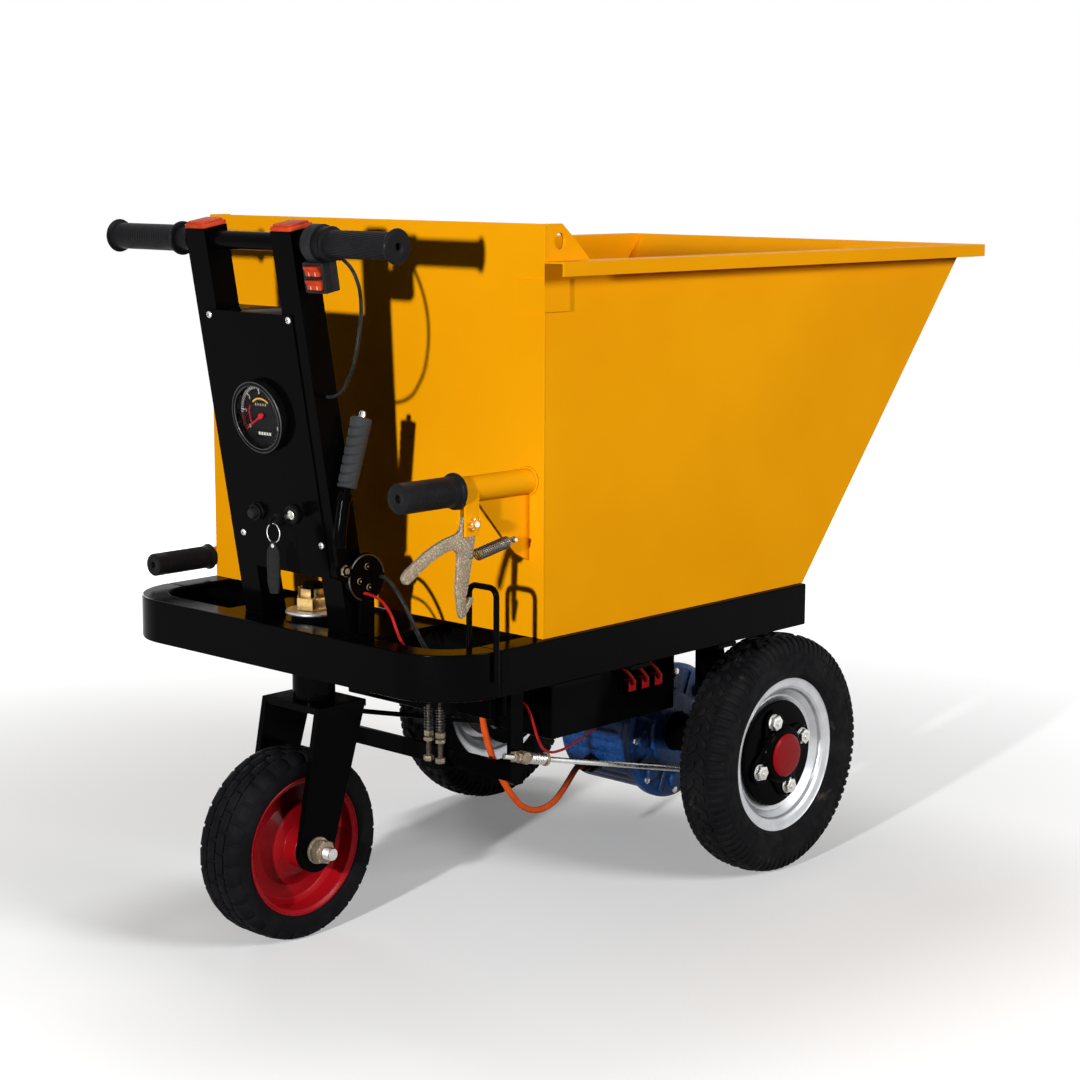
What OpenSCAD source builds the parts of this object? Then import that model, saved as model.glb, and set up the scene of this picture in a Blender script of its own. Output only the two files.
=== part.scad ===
// Three-wheeled powered concrete buggy with a forward-tipping hopper.
// +X is the operator's right, +Y is the way the hopper tips, +Z is up.
// The modules draw in machine axes: y = 0 on the hopper's back plate and z = 0 on the ground.
// placed() then shifts the whole part so that its origin is under the middle of its box.

/* [Hopper] */
// Outside width of the hopper
hopper_w = 680; // [560:10:760]
// Length of the hopper floor
hopper_floor_l = 580; // [480:10:680]
// How far the front wall leans out past the floor
hopper_front_reach = 416; // [300:4:480]
// Height of the side walls
hopper_side_h = 500; // [400:10:600]
// Rise of the back plate above the side walls
back_rise = 48; // [30:2:80]
// Sheet thickness of the hopper
hopper_t = 3; // [2:0.5:6]
// Width of the side lips
lip_w = 34; // [20:1:45]
// Width of the front lip
front_lip_w = 10; // [6:1:20]
// Drop of the folded lip edge
lip_drop = 19; // [12:1:30]

/* [Chassis] */
// Gap between the drive tyres and the rails above them
tyre_gap = 17; // [10:1:80]
// Outside width of the rails
frame_w = 694; // [580:2:780]
// Height of the rail channel
rail_h = 63; // [50:1:80]
// Flange width of the rail channel
rail_flange = 40; // [30:1:50]
// Wall of the rail channel
rail_t = 5; // [3:0.5:8]
// Distance from the back plate to the operator's end of the frame
frame_nose = 187; // [175:1:230]
// Outer corner radius of the frame
frame_corner_r = 100; // [70:1:130]

/* [Column] */
// Width over both column legs
column_w = 215; // [180:1:260]
// Side of the square leg tube
leg_side = 40; // [30:1:50]
// Wall of the leg tube
leg_t = 3; // [2:0.5:5]
// Length of the legs above the deck
leg_l = 545; // [480:5:640]
// Lean of the column towards the operator in degrees
column_lean = 10; // [5:1:15]
// Handlebar tube diameter
bar_d = 25; // [20:1:30]
// Length of the handlebar
bar_l = 562; // [480:2:640]
// Outside diameter of the handlebar grips
grip_d = 36; // [30:1:42]

/* [Caster] */
// Caster tyre diameter
caster_d = 270; // [240:2:280]
// Caster tyre width
caster_w = 80; // [60:1:88]
// Trail of the caster axle behind the stem
caster_trail = 50; // [30:1:60]
// Stem diameter
stem_d = 30; // [24:1:36]
// Gap between the fork legs
fork_gap = 100; // [92:1:120]
// Fork plate thickness
fork_t = 10; // [6:1:14]

/* [Drive wheels] */
// Drive tyre diameter
wheel_d = 370; // [340:2:380]
// Drive tyre width
wheel_w = 80; // [60:1:90]
// Distance between the tyre middles
track = 604; // [560:2:640]
// Diameter of the rim flange
rim_flange_d = 238; // [210:2:250]
// Pitch circle of the wheel nuts
nut_pcd = 112; // [100:1:124]
// Half-shaft diameter
shaft_d = 25; // [20:1:30]

/* [Drive unit] */
// Motor housing diameter
motor_d = 200; // [160:2:216]
// Length of the motor housing
motor_l = 140; // [110:5:180]
// End cover diameter
motor_cover_d = 216; // [180:2:224]
// Thickness of the end cover
motor_cover_l = 25; // [15:1:35]
// Axle tube diameter
axle_tube_d = 60; // [50:1:70]

/* [Handles and latch] */
// Dump handle tube diameter
dump_tube_d = 34; // [28:1:38]
// Dump handle length
dump_l = 234; // [200:2:260]
// Side handle tube diameter
side_tube_d = 28; // [22:1:30]
// Thickness of the latch hook
hook_t = 6; // [4:0.5:8]
// Latch pivot bolt diameter
pivot_d = 10; // [8:1:12]
// Latch loop rod diameter
loop_d = 8; // [6:1:10]
// Bore of the lifting eyes
eye_d = 22; // [16:1:26]

/* [Springs] */
// Wire diameter of the latch spring
spring_wire = 1.8; // [1.2:0.1:2]
// Mean coil diameter of the latch spring
spring_d = 13; // [11:0.5:16]
// Curls of the latch spring
spring_curls = 20; // [12:1:22]
// Wire diameter of the brake rod springs
rod_spring_wire = 1.8; // [1.2:0.1:2]
// Curls of each brake rod spring
rod_spring_curls = 6; // [4:1:7]

/* [Hidden] */
$fn = 64;
hex_sides = 6;
overrun = 1;
// Radial running clearance of a shaft in its bore
run_fit = 0.05;
// Gap between pieces that move past each other
move_gap = 0.5;
// Gap of a piece that rests on its seat
seat_gap = 0.3;

// Height of the rail tops, as a number and as a shift of places in y and z
deck_z = wheel_d + tyre_gap + rail_h;
deck = [0, deck_z];

// Hopper places
floor_z = deck_z + seat_gap;
hopper_back_h = hopper_side_h + back_rise;
side_top = floor_z + hopper_side_h;
hopper_half = hopper_w / 2;
hopper_in = hopper_half - hopper_t;
front_top_y = hopper_floor_l + hopper_front_reach;
front_slope = hopper_front_reach / hopper_side_h;
front_wall_y = hopper_t * sqrt(1 + front_slope * front_slope);
lip_end_y = front_top_y + front_lip_w;
eye_y = 30;
eye_z = 25;
lug_l = 86;
lug_t = 6;
lug_crest_shares = [0.36, 0.62];
patch_w = 46;
patch_h = 42;
patch_drop = 24;

// Chassis places
frame_half = frame_w / 2;
rail_z = deck_z - rail_h;
corner_x = frame_half - frame_corner_r;
corner_y = frame_corner_r - frame_nose;
web_in = frame_half - rail_t;
plate_t = 8;
plate_top = deck_z - rail_t;
plate_half = 150;
cross_side = 40;
cross_top = plate_top - plate_t;
strap_w = 40;
strap_t = 6;

// Tipping hinge
hinge_y = hopper_floor_l;
knuckle_r = 14;
hinge_z = deck_z - knuckle_r;
hinge_pin_d = 16;
hinge_beam_w = 40;
hinge_beam_h = 44;
hinge_beam_gap = 25;
hinge_beam_y = hinge_y - hinge_beam_gap;
hinge_beam_z = rail_z + rail_t;
lug_plate_t = 10;
knuckle_l = 60;
hinge_x = 200;

// Column frame: x across, v back from the front face, w up along the legs
column_y = -136.5;
leg_x = column_w / 2 - leg_side / 2;
panel_t = 2;
panel_w = 176;
panel_w0 = 71;
panel_w1 = 435;
panel_inset = 7;
screw_d = 5;
screw_head_d = 10;
screw_head_h = 4;
screw_shank = 9;
screw_x = panel_w / 2 - panel_inset;
screw_rise = 47;
screw_ws = [panel_w0 + screw_rise, panel_w1 - panel_inset];
cap_h = 6;
cap_step = 3;
cap_lip = 1;
bar_drop = 18;
bar_w = leg_l - bar_drop;
bar_wall = 3;

// Handlebar controls, measured along x
grip_flange_d = 46;
grip_flange_t = 5;
left_grip_l = 165;
grip_end_t = 4;
throttle_x0 = 124;
housing_l = 34;
housing_d = 44;
outlet_x = 150;
outlet_d = 10;
outlet_l = 32;
twist_x0 = throttle_x0 + housing_l + move_gap;
pod_x = 137.5;
pod_size = [40, 26, 40];
pod_drop = 42;
pod_arm = 8;
pod_arm_w = 16;
pod_well = 9;
rocker_gap = 1.4;
rocker_size = [28, 10, 13];
rocker_pitch = 18;
rocker_pin_d = 3;
rocker_proud = 3;
rocker_pin_half = rocker_size[0] / 2 + 3 * rocker_gap;
rocker_y = -pod_size[1] / 2 + pod_well - rocker_size[1] / 2 - rocker_gap;

// Panel instruments, in the column frame
gauge_w = 293;
gauge_d = 100;
gauge_body_d = 90;
gauge_body_l = 30;
gauge_bezel_h = 14;
gauge_dial_z = 2;
gauge_well_d = 88;
gauge_lens_z = 9;
gauge_lens_t = 2;
gauge_needle_z = 4;
gauge_needle_t = 1.5;
gauge_needle_l = 34;
gauge_needle_w = 3;
gauge_needle_hub_d = 10;
gauge_pin_d = 3;
key_x = 32;
key_w = 157;
key_bezel_d = 28;
key_body_d = 22;
key_body_l = 25;
key_bezel_h = 6;
key_plug_d = 14;
key_stem = [2.5, 8, 14];
key_bow = [2.5, 20, 22];
key_eye_d = 7;
key_eye_in = 5;
ring_r = 13;
ring_wire = 1.6;
ring_drop = ring_r + key_eye_d / 2 - ring_wire / 2 - seat_gap;
fob_size = [16, 4, 62];
fob_loop_d = 6;
push_x = -43;
push_w = 153;
push_bezel_d = 24;
push_bezel_h = 8;
push_body_l = 18;
push_d = 14;
push_proud = 7;
push_tail = 12;

// Hand brake; its places are in machine y and in height over the rails
brake_stand = 7;
brake_x = column_w / 2 + brake_stand;
bracket_t = 5;
lever_t = 6;
brake_pivot_at = [-160, 87];
brake_pivot = brake_pivot_at + deck;
brake_sector_at = [-114, 71];
brake_sector = brake_sector_at + deck;
brake_sector_r = 34;
brake_foot_y = -112;
brake_foot_w = 26;
brake_pin_d = 10;
brake_boss_r = 14;
lever_knee_at = [-166, 122];
lever_knee = lever_knee_at + deck;
lever_neck_at = [-154, 190];
lever_neck = lever_neck_at + deck;
lever_tip_at = [-123, 290];
lever_tip = lever_tip_at + deck;
lever_strip = 18;
lever_rod_d = 14;
lever_grip_d = 27;
lever_x = brake_x + bracket_t + move_gap;
lever_mid = lever_x + lever_t / 2;
lever_run = lever_tip - lever_neck;
lever_len = norm(lever_run);
lever_tilt = atan2(lever_run[0], lever_run[1]);
lever_grip_start = 8;
lever_collar_l = 10;
lever_collar_d = 21;
button_d = 9;
button_len = 22;
button_proud = 9;
cable_boss_d = 16;
cable_boss_y = -94;
rivet_d = 8;
rivet_h = 2;
rivet_shares = [[0.05, 0.45], [-0.35, -0.1], [0.15, -0.4]];

// Hopper handles and latch, in machine x and y and in height over the rails
dump_x = 312;
dump_h = 211;
dump_z = deck_z + dump_h;
dump_wall = 3;
dump_grip_l = 98;
dump_grip_d = 40;
dump_flange_d = 48;
side_h = 29;
side_z = deck_z + side_h;
side_x = -(hopper_half + side_tube_d / 2 + seat_gap);
side_tube_y = 150;
side_weld_y = 20;
side_weld_h = 12;
side_grip_l = 105;
side_grip_d = 34;
side_flange_d = 39;
side_grip_gap = 1;
hook_x = 322;
hook_pivot_at = [-122, 169];
hook_pivot = hook_pivot_at + deck;
clevis_w = 24;
clevis_t = 4;
clevis_drop = 16;
bolt_head_d = 17;
bolt_head_h = 7;
gusset_l = 98;
gusset_h = 90;
gusset_t = 6;
loop_y = -100;
loop_h = 84;
loop_top = deck_z + loop_h;
loop_bend = 12;
loop_foot_drop = 40;
loop_in_x = corner_x + sqrt(pow(frame_corner_r - rail_flange - loop_d / 2 - seat_gap, 2)
    - pow(loop_y - corner_y, 2));
loop_out_x = corner_x + sqrt(pow(frame_corner_r + loop_d / 2 + seat_gap, 2)
    - pow(loop_y - corner_y, 2));
hook_eye_r = 15;
// Hook outline places from the pivot, in y and z
hook_shank_end = [-14, -86];
hook_bill = [-13, -118];
hook_tail = [4, -100];
hook_arm = [[-10, -18], [-44, -24], [-78, -37], [-112, -58]];
hook_shank_w = 22;
hook_bill_w = 12;
hook_tail_w = 7;
hook_arm_w = 17;
spring_hook_z = -45;
spring_peg_at = [-38, 138];
spring_peg = spring_peg_at + deck;
spring_gap = 0.8;
spring_peg_d = 5;
spring_lead = 4;

// Rear axle and drive wheels
axle_y = 556;
wheel_r = wheel_d / 2;
wheel_x = track / 2;
rim_half = 27;
rim_t = 4;
bead_r = 102;
well_r = 92;
rim_hole_r = 46;
rim_disc_x = 4;
rim_disc_t = 5;
drum_r = 78;
drum_x0 = -54;
drum_x1 = -14;
hub_neck_r = 45;
hub_face_r = 82;
hub_face_t = 8;
hub_boss_r = 44;
hub_boss_t = 14;
hub_cap_r = 33;
hub_cap_t = 6;
wheel_nut_d = 21;
wheel_nut_h = 12;
wheel_stud_d = 10;
wheel_stud_h = 5;
nut_count = 4;
shaft_in = 150;
tread_r_shares = [0.12, 0.434, 0.749, 0.924, 1];
tread_w_shares = [0.82, 1, 0.96, 0.84, 0.6];
backplate_r = 84;
backplate_t = 6;
backplate_gap = 2;
backplate_x = wheel_x + drum_x0 - backplate_gap - backplate_t;
motor_x0 = -45;
motor_cover_rib_d = 26;
motor_cover_ribs = 8;
motor_rib_h = 5;
motor_rib_share = 0.74;
motor_hub_share = 0.55;
gland_x = 20;
gland_drop = 53;
gland_pos = [gland_x, wheel_r - gland_drop];
gland_collar_d = 28;
gland_d = 20;
gland_l = 15;
bracket_x = 190;
bracket_plate_t = 8;
bracket_ring_r = 44;
bracket_top_l = 50;

// Battery box and controller
battery_half = 215;
battery_y = [155, 430];
battery_h = 119;
controller_x = [80, 180];
controller_l = 90;
controller_h = 80;
terminal_y = [318, 348, 378];
terminal_size = [12, 22, 16];
terminal_z = 46;

// Brake linkage
swing_y = 95;
swing_pivot_drop = 22;
swing_pivot_z = rail_z - swing_pivot_drop;
swing_x = 200;
swing_t = 8;
swing_w = 26;
swing_pin_d = 12;
swing_drop = 117;
swing_bar_drop = 147;
swing_ear_x = 50;
swing_ear_l = 24;
swing_ear_w = 44;
adjuster_d = 7;
adjuster_l = 84;
adjuster_pitch = 24;
adjuster_nut_d = 14;
adjuster_nut_h = 8;
hanger_t = 8;
rod_d = 8;
rod_offset = 17;
rod_mid_x = swing_x + rod_offset;
rod_pin_gap = 2.5;
rod_start = 42;
rod_end_y = 500;
rod_end_drop = 36;
rod_end_z = wheel_r - rod_end_drop;
rod_boss_d = 18;
rod_boss_l = 16;
rod_nut_d = 15;
rod_nut_l = 8;
rod_seat_d = 18;
rod_seat_l = 4;
rod_spring_l = 22;
rod_spring_r = 6.5;
cam_l = 65;
cam_t = 6;
cam_w = 22;
cam_pin_d = 12;
cam_slot_w = 9;
cam_slot_l = 16;
cam_gap = 5;
rod_pin_d = 8;

// Caster
caster_y = -105;
caster_r = caster_d / 2;
crown_l = 88;
crown_front = 44;
head_d = 60;
head_rise = 5;
head_top = deck_z + head_rise;
head_l = 121;
crown_top = head_top - head_l;
stem_washer_d = 78;
stem_washer_t = 5;
castle_d = 50;
castle_h = 30;
castle_slot = 6;
castle_slot_h = 12;
stem_stub = 8;
fork_foot_r = 32;
caster_axle_d = 18;
caster_axle_half = 92;
caster_nut_d = 31;
caster_nut_h = 15;
caster_washer_d = 38;
caster_washer_t = 4;
caster_rim_r = 97;
caster_rim_half = 36;
caster_rim_t = 5;
caster_bead_h = 7.8;
caster_dish = 6;
caster_hub_r = 30;
caster_hub_gap = 1;
caster_cone_r = 62;

// Half the distance between the ends of the part's box, along y
origin_y = (lip_end_y + caster_y - caster_trail - caster_r) / 2;

// Cord routes in machine axes, and their diameters
throttle_lead_d = 5;
throttle_lead_route = [
    [150, -181.8, 953.9], [150, -174.43, 948.74], [153, -168, 941], [158, -164.5, 930],
    [165, -164.5, 915], [172, -168, 897], [177, -173, 877], [178.5, -177.5, 856],
    [176.5, -180.5, 835], [171, -181.5, 815], [161, -181, 798], [149, -178, 784],
    [136, -175, 776], [122, -172, 771], [114, -171, 770], [107.8, -171, 770]
];
motor_cable_d = 10;
motor_cable_route = [
    [120, 112, 300.7], [120, 112, 285], [119, 117, 265], [117, 128, 238], [115, 143, 210],
    [113, 161, 182], [110, 182, 156], [106, 206, 134], [101, 232, 120], [95, 258, 113],
    [88, 285, 111], [79, 312, 113], [68, 338, 118], [56, 364, 124], [43, 389, 129],
    [31, 410, 131.5], [23, 424, 132], [20, 433, 132], [20, 440.7, 132]
];
brake_wire_d = 4;
brake_wire_route = [
    [119.8, -118, 500], [127, -118, 500], [138, -117, 498], [150, -116, 494], [161, -116, 486],
    [171, -116, 475], [178, -116, 462], [183, -114, 449], [186, -108, 436], [189, -97, 426],
    [194, -82, 419], [198, -63, 415], [200, -42, 415], [200, -20.3, 415]
];
motor_wire_d = 4;
motor_wire_route = [
    [180.3, 125, 318], [187, 125, 317], [193, 127, 311], [196, 131, 300], [197, 136, 286],
    [197, 142, 271], [196, 150, 256], [193, 161, 244], [188, 176, 236], [181, 195, 230],
    [172, 217, 226], [162, 241, 223], [150, 267, 221], [138, 294, 220], [126, 321, 219],
    [114, 348, 219], [103, 375, 219], [93, 401, 219], [86, 425, 218], [81, 446, 217],
    [80, 460.5, 217]
];
brake_cable_d = 6;
brake_cable_route = [
    [126.3, -94, 521], [133, -94, 521], [143, -93, 516], [153, -92, 507], [163, -91, 495],
    [172, -89, 481], [179, -86, 465], [185, -81, 448], [188, -73, 432], [187, -61, 418],
    [181, -46, 406], [171, -29, 395], [157, -11, 384], [140, 7, 373], [121, 25, 362],
    [101, 41, 350], [84, 56, 337], [71.5, 68, 324.5], [64.8, 78, 315], [62, 83, 306],
    [62, 83, 297.4]
];

// Shared shapes

module placed() {
    translate([0, -origin_y, 0]) children();
}

// Both sides of the machine
module both_sides() {
    children();
    mirror([1, 0, 0]) children();
}

// A plate in the y-z plane from x0, drawn in y and z
module plate_yz(x0, t) {
    translate([x0, 0, 0]) rotate([90, 0, 90]) linear_extrude(t) children();
}

// A rod along x
module rod_x(d, x0, x1, y, z) {
    translate([x0, y, z]) rotate([0, 90, 0]) cylinder(d = d, h = x1 - x0);
}

// A rod along y
module rod_y(d, y0, y1, x, z) {
    translate([x, y0, z]) rotate([-90, 0, 0]) cylinder(d = d, h = y1 - y0);
}

// A flat strip with round ends between two points of a drawing
module strip(p, q, w) {
    d = q - p;
    translate(p) rotate(atan2(d[1], d[0])) {
        translate([0, -w / 2]) square([norm(d), w]);
        circle(d = w);
        translate([norm(d), 0]) circle(d = w);
    }
}

// A turned shape about the x axis, drawn as [radius, x]
module turned_x() {
    rotate([0, 90, 0]) rotate_extrude() children();
}

// Column axes: x across, y back from the leg fronts, z up along the legs
module on_column() {
    translate([0, column_y, deck_z]) rotate([column_lean, 0, 0]) children();
}

// Panel axes: z points at the operator from the panel face
module on_panel(x, w) {
    on_column() translate([x, -panel_t, w]) rotate([90, 0, 0]) children();
}

// Handlebar axes: x along the bar
module on_bar() {
    on_column() translate([0, leg_side / 2, bar_w]) children();
}

// Channel section: 0 on the outside of the web, flanges towards +x
module channel_2d() {
    polygon([
        [0, 0], [rail_flange, 0], [rail_flange, rail_t], [rail_t, rail_t], [rail_t, rail_h - rail_t],
        [rail_flange, rail_h - rail_t], [rail_flange, rail_h], [0, rail_h]
    ]);
}

// Tube swept along a list of points

function unit(v) = v / norm(v);

function heading(p, i) = unit(p[min(i + 1, len(p) - 1)] - p[max(i - 1, 0)]);

// One direction square to the route at each point, carried along without twisting
function normals(t, ref) =
    [for (i = 0, n = unit(cross(t[0], ref)); i < len(t);
        i = i + 1, n = i < len(t) ? unit(n - (n * t[i]) * t[i]) : n) n];

function ring(c, t, n, r, sides) =
    let (b = cross(n, t))
    [for (k = [0 : sides - 1]) c + r * (cos(360 * k / sides) * n + sin(360 * k / sides) * b)];

function tube_points(p, ref, r, sides) =
    let (t = [for (i = [0 : len(p) - 1]) heading(p, i)], n = normals(t, ref))
    [for (i = [0 : len(p) - 1]) each ring(p[i], t[i], n[i], r, sides)];

function tube_sides(rings, sides) =
    [for (i = [0 : rings - 2]) for (k = [0 : sides - 1])
        let (a = i * sides + k, b = i * sides + (k + 1) % sides)
        each [[a, b, a + sides], [b, b + sides, a + sides]]];

function tube_ends(rings, sides) =
    [for (k = [1 : sides - 2]) each [
        [0, k + 1, k], [(rings - 1) * sides, (rings - 1) * sides + k, (rings - 1) * sides + k + 1]
    ]];

module tube(p, ref, d, sides) {
    polyhedron(tube_points(p, ref, d / 2, sides),
        concat(tube_sides(len(p), sides), tube_ends(len(p), sides)), convexity = 10);
}

// Helix along z with straight ends on its axis
curl_rings = 8;
spring_sides = 6;

function helix(r, length, curls, lead) =
    concat(
        [[0, 0, 0], [0, 0, lead]],
        [for (i = [0 : curls * curl_rings])
            let (a = 360 * i / curl_rings)
            [r * cos(a), r * sin(a), 2 * lead + (length - 4 * lead) * i / (curls * curl_rings)]],
        [[0, 0, length - lead], [0, 0, length]]);

// Least gap between points of the wire that are at least half a curl apart
function self_gap(p, wire) =
    min([for (i = [0 : len(p) - 1]) for (j = [i + 4 : 1 : min(len(p) - 1, i + 12)])
        norm(p[i] - p[j])]) - wire;

// Chassis

module side_rails() {
    color("#161617")
        for (side = [0, 1])
            mirror([side, 0, 0])
                translate([frame_half, hopper_floor_l, rail_z]) rotate([90, 0, 0]) mirror([1, 0, 0])
                    linear_extrude(hopper_floor_l - corner_y) channel_2d();
}

module front_rail() {
    color("#161617") {
        translate([-corner_x, -frame_nose, rail_z]) rotate([90, 0, 90])
            linear_extrude(2 * corner_x) channel_2d();
        both_sides()
            translate([corner_x, corner_y, rail_z]) rotate([0, 0, -90]) rotate_extrude(angle = 90)
                translate([frame_corner_r, 0]) mirror([1, 0]) channel_2d();
    }
}

// Cross tube, hinge beam with its lugs, battery straps, axle brackets and brake hangers
module frame_brackets() {
    color("#1a1a1b") {
        translate([-web_in, -cross_side / 2, cross_top - cross_side])
            cube([2 * web_in, cross_side, cross_side]);
        hinge_beam();
        for (y = [battery_y[0] + strap_w, battery_y[1] - strap_w])
            translate([-frame_half, y - strap_w / 2, rail_z - strap_t])
                cube([frame_w, strap_w, strap_t]);
        both_sides() axle_bracket();
        both_sides() swing_hanger();
    }
}

module hinge_beam() {
    difference() {
        union() {
            translate([-web_in, hinge_beam_y - hinge_beam_w, hinge_beam_z])
                cube([2 * web_in, hinge_beam_w, hinge_beam_h]);
            both_sides()
                for (x = [
                    hinge_x - knuckle_l / 2 - move_gap - lug_plate_t, hinge_x + knuckle_l / 2 + move_gap
                ])
                    plate_yz(x, lug_plate_t) {
                        translate([hinge_beam_y, hinge_z - knuckle_r])
                            square([hinge_y - hinge_beam_y, 2 * knuckle_r - seat_gap]);
                        translate([hinge_y, hinge_z]) circle(r = knuckle_r - seat_gap);
                    }
        }
        rod_x(hinge_pin_d + 2 * run_fit, -frame_half, frame_half, hinge_y, hinge_z);
    }
}

module axle_bracket() {
    top_z = hinge_beam_z;
    mid_y = hinge_beam_y - hinge_beam_w / 2;
    plate_yz(bracket_x, bracket_plate_t)
        difference() {
            union() {
                polygon([
                    [mid_y - bracket_top_l / 2, top_z], [mid_y + bracket_top_l / 2, top_z],
                    [axle_y + bracket_ring_r, wheel_r], [axle_y - bracket_ring_r, wheel_r]
                ]);
                translate([axle_y, wheel_r]) circle(r = bracket_ring_r);
            }
            translate([axle_y, wheel_r]) circle(d = axle_tube_d + 2 * run_fit);
        }
}

// Ear under the cross tube's side that carries one arm of the brake swing
module swing_hanger() {
    x0 = swing_x - swing_t / 2 - move_gap - hanger_t;
    plate_yz(x0, hanger_t) {
        translate([swing_y - swing_w / 2, swing_pivot_z])
            square([swing_w, rail_z - strap_t - swing_pivot_z]);
        translate([swing_y, swing_pivot_z]) circle(d = swing_w);
    }
    translate([x0, cross_side / 2, rail_z - strap_t])
        cube([frame_half - x0, swing_y + swing_w / 2 - cross_side / 2, strap_t]);
    rod_x(swing_pin_d, x0 + hanger_t, swing_x + swing_t / 2 + move_gap, swing_y, swing_pivot_z);
    rod_x(swing_w, swing_x + swing_t / 2 + move_gap, swing_x + swing_t / 2 + 2 * strap_t, swing_y,
        swing_pivot_z);
}

module hinge_pin() {
    color("#8d8f92")
        rod_x(hinge_pin_d, -(hinge_x + knuckle_l), hinge_x + knuckle_l, hinge_y, hinge_z);
}

// Deck plate with the head tube that holds the caster stem
module head_plate() {
    color("#161617")
        difference() {
            union() {
                translate([-plate_half, rail_t - frame_nose, plate_top - plate_t])
                    cube([2 * plate_half, frame_nose - rail_t + cross_side / 2, plate_t]);
                translate([0, caster_y, crown_top + seat_gap])
                    cylinder(d = head_d, h = head_top - crown_top - seat_gap);
            }
            translate([0, caster_y, crown_top])
                cylinder(d = stem_d + 2 * run_fit, h = head_top - crown_top + overrun);
        }
}

module column_legs() {
    color("#161617")
        both_sides()
            difference() {
                on_column()
                    translate([leg_x - leg_side / 2, 0, -leg_side])
                        difference() {
                            cube([leg_side, leg_side, leg_l + leg_side]);
                            translate([leg_t, leg_t, -overrun])
                                cube([
                                    leg_side - 2 * leg_t, leg_side - 2 * leg_t, leg_l + leg_side + 2 * overrun
                                ]);
                        }
                translate([0, column_y - leg_side, plate_top - 2 * leg_side])
                    cube([column_w, 3 * leg_side, 2 * leg_side]);
                on_bar() rod_x(bar_d + 2 * run_fit, 0, column_w, 0, 0);
                for (w = screw_ws)
                    on_panel(screw_x, w)
                        translate([0, 0, -leg_side / 2]) cylinder(d = screw_d + 2 * run_fit, h = leg_side);
            }
}

module column_caps() {
    color("#b5341c")
        both_sides()
            on_column() translate([leg_x, leg_side / 2, leg_l]) {
                cap = leg_side + 2 * cap_lip;
                top = cap - 2 * cap_step;
                translate([-cap / 2, -cap / 2, 0]) cube([cap, cap, cap_h]);
                translate([-top / 2, -top / 2, cap_h]) cube([top, top, cap_step]);
            }
}

module column_panel() {
    color("#131314")
        difference() {
            on_column()
                translate([-panel_w / 2, -panel_t, panel_w0]) cube([panel_w, panel_t, panel_w1 - panel_w0]);
            panel_hole(0, gauge_w, gauge_body_d + 2 * run_fit);
            panel_hole(key_x, key_w, key_body_d + 2 * run_fit);
            panel_hole(push_x, push_w, key_body_d + 2 * run_fit);
            for (x = [-screw_x, screw_x])
                for (w = screw_ws)
                    panel_hole(x, w, screw_d + 2 * run_fit);
        }
}

module panel_hole(x, w, d) {
    on_panel(x, w) translate([0, 0, -panel_t - overrun]) cylinder(d = d, h = panel_t + 2 * overrun);
}

module panel_screws() {
    color("#b9bcc0")
        for (x = [-screw_x, screw_x])
            for (w = screw_ws)
                on_panel(x, w) {
                    cylinder(d = screw_head_d, h = screw_head_h / 2);
                    translate([0, 0, screw_head_h / 2])
                        cylinder(d1 = screw_head_d, d2 = screw_head_d / 2, h = screw_head_h / 2);
                    translate([0, 0, -screw_shank]) cylinder(d = screw_d, h = screw_shank);
                }
}

module handlebar() {
    color("#161617")
        on_bar()
            difference() {
                rod_x(bar_d, -bar_l / 2, bar_l / 2, 0, 0);
                rod_x(bar_d - 2 * bar_wall, -bar_l / 2 - overrun, bar_l / 2 + overrun, 0, 0);
            }
}

// Rubber grip from x0 to x1 with a flange at each end, open at x0 and closed past x1
module bar_grip(x0, x1, bore_d) {
    difference() {
        union() {
            rod_x(grip_d, x0, x1 + grip_end_t, 0, 0);
            rod_x(grip_flange_d, x0, x0 + grip_flange_t, 0, 0);
            rod_x(grip_flange_d, x1 + grip_end_t - grip_flange_t, x1 + grip_end_t, 0, 0);
        }
        rod_x(bore_d, x0 - overrun, x1 + seat_gap, 0, 0);
    }
}

module left_grip() {
    color("#101011")
        on_bar()
            mirror([1, 0, 0])
                bar_grip(bar_l / 2 - left_grip_l, bar_l / 2, bar_d + 2 * run_fit);
}

module throttle_grip() {
    color("#101011")
        on_bar() bar_grip(twist_x0, bar_l / 2, bar_d + 2 * run_fit);
}

module throttle_housing() {
    color("#18181a")
        on_bar()
            difference() {
                union() {
                    rod_x(housing_d, throttle_x0, throttle_x0 + housing_l, 0, 0);
                    translate([outlet_x, 0, 0]) rotate([-135, 0, 0]) cylinder(d = outlet_d, h = outlet_l);
                }
                rod_x(bar_d + 2 * run_fit, throttle_x0 - overrun, throttle_x0 + housing_l + overrun, 0, 0);
            }
}

// Switch pod under the throttle housing, with a well and pin holes for each rocker
module switch_pod() {
    color("#3a3b3d")
        on_pod()
            difference() {
                union() {
                    translate(-pod_size / 2) cube(pod_size);
                    translate([-pod_arm_w / 2, pod_size[1] / 2 - pod_arm, pod_size[2] / 2])
                        cube([pod_arm_w, pod_arm, pod_drop - pod_size[2] / 2]);
                }
                for (side = [-1, 1]) {
                    translate([
                        -rocker_size[0] / 2 - rocker_gap, -pod_size[1] / 2 - overrun,
                        side * rocker_pitch / 2 - rocker_size[2] / 2 - rocker_gap
                    ])
                        cube([
                            rocker_size[0] + 2 * rocker_gap, pod_well + overrun,
                            rocker_size[2] + 2 * rocker_gap
                        ]);
                    rod_x(rocker_pin_d + 2 * run_fit, -rocker_pin_half - overrun, rocker_pin_half + overrun,
                        rocker_y, side * rocker_pitch / 2);
                }
                translate([0, pod_arm / 2, pod_drop])
                    rod_x(housing_d + 2 * run_fit, -housing_d, housing_d, 0, 0);
            }
}

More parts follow.
